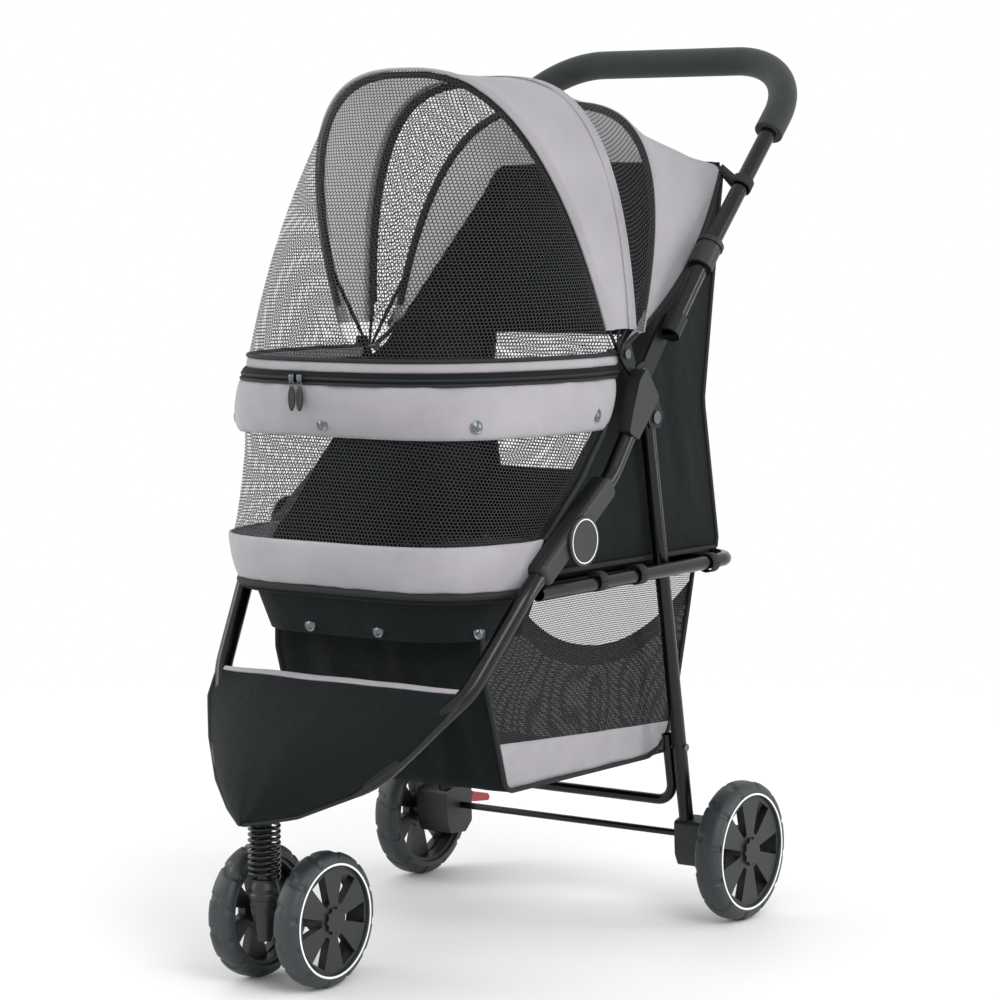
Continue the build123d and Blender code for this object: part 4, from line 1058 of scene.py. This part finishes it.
# ---------------------------------------------------------------- storage basket
# A soft basket hangs from the base tube: close black net sides with a grey strip along the
# bottom, a plain black front, and a rear net that sags under its own hem.
BASKET_X = 0.140
FRONT_PROFILE = [(0.187, -0.145), (0.330, -0.190), (0.400, -0.190)]
REAR_PROFILE = [(0.187, 0.176), (0.390, 0.230), (0.400, 0.230)]
BASKET_HEART = Vector((0, 0, 0.29))
basket_pieces = []
for side, hand in ((-1, "left"), (1, "right")):

    def side_row(z, out=0.0):
        y0, y1 = along_height(FRONT_PROFILE, z), along_height(REAR_PROFILE, z)
        corner = 0.035 * ease((0.215 - z) / 0.03)
        y1 -= corner * 0.6
        row = []
        for n in range(57):
            u = n / 56
            y = y0 + (y1 - y0) * u
            belly = 0.007 * sin(pi * u) * sin(pi * (z - 0.187) / 0.215)
            ripple = 0.002 * noise.noise(Vector((y / 0.04, z / 0.08, side * 5))) * ease(min(u, 1 - u) / 0.08)
            row.append(Vector((side * (BASKET_X - 0.002 + belly + ripple + out), y, z)))
        return row

    net_rows = [side_row(0.205 + (0.395 - 0.205) * k / 24) for k in range(25)]
    net = sew(f"basket_side_net_{hand}", net_rows, fine_net, BASKET_HEART, 0.0)
    strip_rows = []
    for k in range(9):
        v = k / 8
        low_row, high_row = side_row(0.190, 0.0012), side_row(0.232, 0.0012)
        row = []
        for n, (a, b) in enumerate(zip(low_row, high_row)):
            tilt = 0.009 * (1 - 2 * n / 56)
            p = a.lerp(b, v)
            row.append(p + Vector((0, 0, tilt * v)))
        strip_rows.append(row)
    strip = sew(f"basket_grey_strip_{hand}", strip_rows, grey_cloth, BASKET_HEART, 0.0012)
    basket_pieces += [net, strip]
    hem = []
    for z in (0.395, 0.36, 0.33, 0.28, 0.23, 0.195):
        hem.append(Vector((side * BASKET_X, along_height(FRONT_PROFILE, z), z)))
    hem += [Vector((side * BASKET_X, y, 0.188)) for y in (-0.140, -0.05, 0.05, 0.135)]
    hem += [Vector((side * BASKET_X, 0.160, 0.196)), Vector((side * BASKET_X, 0.178, 0.213))]
    for z in (0.25, 0.30, 0.35, 0.393):
        hem.append(Vector((side * BASKET_X, along_height(REAR_PROFILE, z), z)))
    basket_pieces.append(cord_edge(f"basket_hem_{hand}", evenly(hem, 90), 0.0028, binding, "chassis"))


def basket_wall(name, profile, z_low, z_high_of, cloth, wall, folds, bow):
    """A wall across the basket between two heights, with upright folds."""
    rows = []
    for k in range(23):
        row = []
        for n in range(41):
            x = BASKET_X * (n / 20 - 1)
            z = z_low + (z_high_of(x) - z_low) * k / 22
            y = along_height(profile, z)
            fold = folds * noise.noise(Vector((x / 0.03, z / 0.12, bow * 100)))
            fold = fold * ease((1 - abs(x) / BASKET_X) / 0.1)
            row.append(Vector((x, y + fold + bow * (1 - (x / BASKET_X) ** 2), z)))
        rows.append(row)
    made = sew(name, rows, cloth, BASKET_HEART, wall)
    basket_pieces.append(made)
    return made


def sagging_top(x):
    return 0.298 + 0.087 * (abs(x) / BASKET_X) ** 2.2


front_wall = basket_wall("basket_front", FRONT_PROFILE, 0.188, lambda x: 0.395, black_cloth, 0.0014,
                         0.006, -0.006)
basket_wall("basket_rear_net", REAR_PROFILE, 0.188, lambda x: sagging_top(x) - 0.02, close_net, 0.0,
            0.003, 0.004)
hem_rows = []
for k in range(6):
    row = []
    for n in range(41):
        x = BASKET_X * (n / 20 - 1)
        z = sagging_top(x) - 0.024 + 0.024 * k / 5
        row.append(Vector((x, along_height(REAR_PROFILE, z) + 0.0045 * (1 - (x / BASKET_X) ** 2), z)))
    hem_rows.append(row)
rear_hem = sew("basket_rear_hem", hem_rows, black_cloth, BASKET_HEART, 0.0014)
floor_rows = []
for k in range(17):
    y = -0.145 + 0.321 * k / 16
    row = []
    for n in range(25):
        z = 0.188 + 0.002 * noise.noise(Vector((n / 3, y / 0.05, 0)))
        row.append(Vector((BASKET_X * (n / 12 - 1), y, z)))
    floor_rows.append(row)
basket_floor = sew("basket_floor", floor_rows, black_cloth, BASKET_HEART, 0.0016)
basket_pieces += [rear_hem, basket_floor]
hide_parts("basket")
for piece in basket_pieces:
    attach(piece, "chassis")
    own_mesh(piece)

# ---------------------------------------------------------------- snap flap over the basket mouth
# A black cloth flap hangs from the front of the tray and snaps to the basket front.
FLAP_TOP = 0.404
flap_rows = []
for k in range(11):
    v = k / 10
    row = []
    for p in evenly([q for q in wall_row(0.404, 0.170, 0.262, 4.2, end=-0.13)], 61):
        z = FLAP_TOP - 0.047 * v
        inward = 0.018 * v
        out = Vector((p.x, p.y + 0.12, 0)).normalized()
        wave = 0.002 * noise.noise(Vector((p.x / 0.03, p.y / 0.03, 2))) * v
        row.append(Vector((p.x, p.y, z)) - out * (inward - wave))
    flap_rows.append(row)
flap = sew("front_snap_flap", flap_rows, black_cloth, BASKET_HEART, 0.0014)
fit(flap, "chassis")
for k, c in enumerate((9, 24, 36, 51)):
    spot = flap_rows[8][c]
    run = (flap_rows[8][c + 1] - flap_rows[8][c - 1]).normalized()
    snap_stud(f"flap_stud_{k}", spot, run.cross(Vector((0, 0, 1))).normalized(), "chassis")

# ---------------------------------------------------------------- front apron
# A black cloth shield sewn round the two front tubes where they converge. Its top edge has a pale
# bound hem, and it narrows to a point over the hub.
APRON_TOP = Vector((0, -0.264, 0.313))
APRON_CROWN = Vector((0, -0.356, 0.262))
APRON_TIP = Vector((0, -0.424, 0.180))
APRON_BEHIND = Vector((0, -0.25, 0.15))
APRON_SIDE = [(0.0, (0.169, -0.256, 0.313)), (0.3, (0.160, -0.284, 0.284)), (0.55, (0.132, -0.316, 0.246)),
              (0.78, (0.092, -0.352, 0.208)), (0.92, (0.046, -0.388, 0.187)), (1.0, (0.004, -0.421, 0.180))]


def apron_row(v):
    """One level of the apron, v from 0 at the top hem to 1 at the tip, bowed from tube to tube."""
    pull = 2 * APRON_CROWN - (APRON_TOP + APRON_TIP) / 2
    spine = APRON_TOP * (1 - v) ** 2 + pull * 2 * v * (1 - v) + APRON_TIP * v * v
    i = 0
    while i < len(APRON_SIDE) - 2 and APRON_SIDE[i + 1][0] < v:
        i += 1
    (v0, side0), (v1, side1) = APRON_SIDE[i], APRON_SIDE[i + 1]
    side = Vector(side0).lerp(Vector(side1), max(0.0, (v - v0) / (v1 - v0)))
    row = []
    for n in range(49):
        u = n / 24 - 1
        back = abs(u) ** 2.2
        drape = 0.006 * (1 - u * u) * sin(pi * min(1, v + 0.12))
        ripple = 0.0016 * noise.noise(Vector((u * 3, v * 3, 8)))
        row.append(Vector((side.x * u, spine.y + (side.y - spine.y) * back - 0.6 * drape + ripple,
                           spine.z + (side.z - spine.z) * back + 0.35 * drape - ripple)))
    return row


apron = sew("apron_shield", [apron_row(k / 28) for k in range(29)], black_cloth, APRON_BEHIND, 0.002)
fit(apron, "chassis", "front_apron")
HEM_LIFT = Vector((0, -0.0012, 0.0012))
hem_rows = [[p + HEM_LIFT for p in apron_row(v)] for v in (-0.012, 0.0, 0.012, 0.024, 0.036)]
apron_hem = sew("apron_hem", hem_rows, grey_cloth, APRON_BEHIND, 0.0016)
fit(apron_hem, "chassis")
outline = [apron_row(k / 60)[0] for k in range(61)] + [apron_row(1 - k / 60)[-1] for k in range(61)]
cord_edge("apron_piping", outline, 0.0022, binding, "chassis")

# ---------------------------------------------------------------- webbing loops
# Short black webbing straps hold the tray to the base tube and the back panel to the handle.
STRAP_WIDE = 0.014
for side, hand in ((-1, "left"), (1, "right")):
    for k, y in enumerate((-0.045, 0.035, 0.185)):
        ring = [Vector((side * 0.190 + 0.0098 * cos(a), y, 0.4105 + 0.0098 * sin(a)))
                for a in [2 * pi * n / 24 for n in range(25)]]
        rows = [[p + Vector((0, d, 0)) for p in ring] for d in (-STRAP_WIDE / 2, 0, STRAP_WIDE / 2)]
        strap = sew(f"tray_strap_{hand}_{k}", rows, binding, Vector((side * 0.190, y, 0.4105)), 0.0)
        thick = strap.modifiers.new("webbing", "SOLIDIFY")
        thick.thickness = 0.0014
        thick.offset = 1
        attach(strap, "chassis")

for side, hand in ((-1, "left"), (1, "right")):
    tube = Vector((side * 0.190, 0.252, 0.8415))
    round_tube = [Vector((0.0115 * cos(a) * side, -0.0115 * sin(a) * 0.7, 0.0115 * sin(a) * 0.7))
                  for a in [-2.3 + 4.6 * n / 20 for n in range(21)]]
    knot = Vector((side * 0.1590, 0.2565, 0.8600))
    ring = [knot] + [tube + d for d in round_tube] + [knot]
    along_tube = Vector((0, 0.698, 0.716)) * 0.006
    rows = [[p + along_tube * d for p in ring] for d in (-1, 0, 1)]
    loop = sew(f"handle_loop_{hand}", rows, binding, tube, 0.0)
    thick = loop.modifiers.new("webbing", "SOLIDIFY")
    thick.thickness = 0.0014
    thick.offset = 1
    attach(loop, "handle")

# ---------------------------------------------------------------- rings on the joint caps
# Each round cap over a frame joint carries one plain white printed ring near its rim.
CAP_FACE = 0.2063
for side, hand in ((-1, "left"), (1, "right")):
    bpy.ops.mesh.primitive_torus_add(major_radius=0.0236, minor_radius=0.0007, major_segments=72,
                                     minor_segments=8, location=(side * CAP_FACE, -0.093, 0.459),
                                     rotation=(0, pi / 2, 0))
    ring = bpy.context.object
    ring.name = f"cap_ring_{hand}"
    bpy.ops.object.transform_apply(location=True, rotation=True, scale=True)
    for vertex in ring.data.vertices:
        vertex.co.x = side * CAP_FACE + (vertex.co.x - side * CAP_FACE) * 0.4
    ring.data.materials.append(white_print)
    ring.data.shade_smooth()
    ring.select_set(False)
    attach(ring, "chassis")
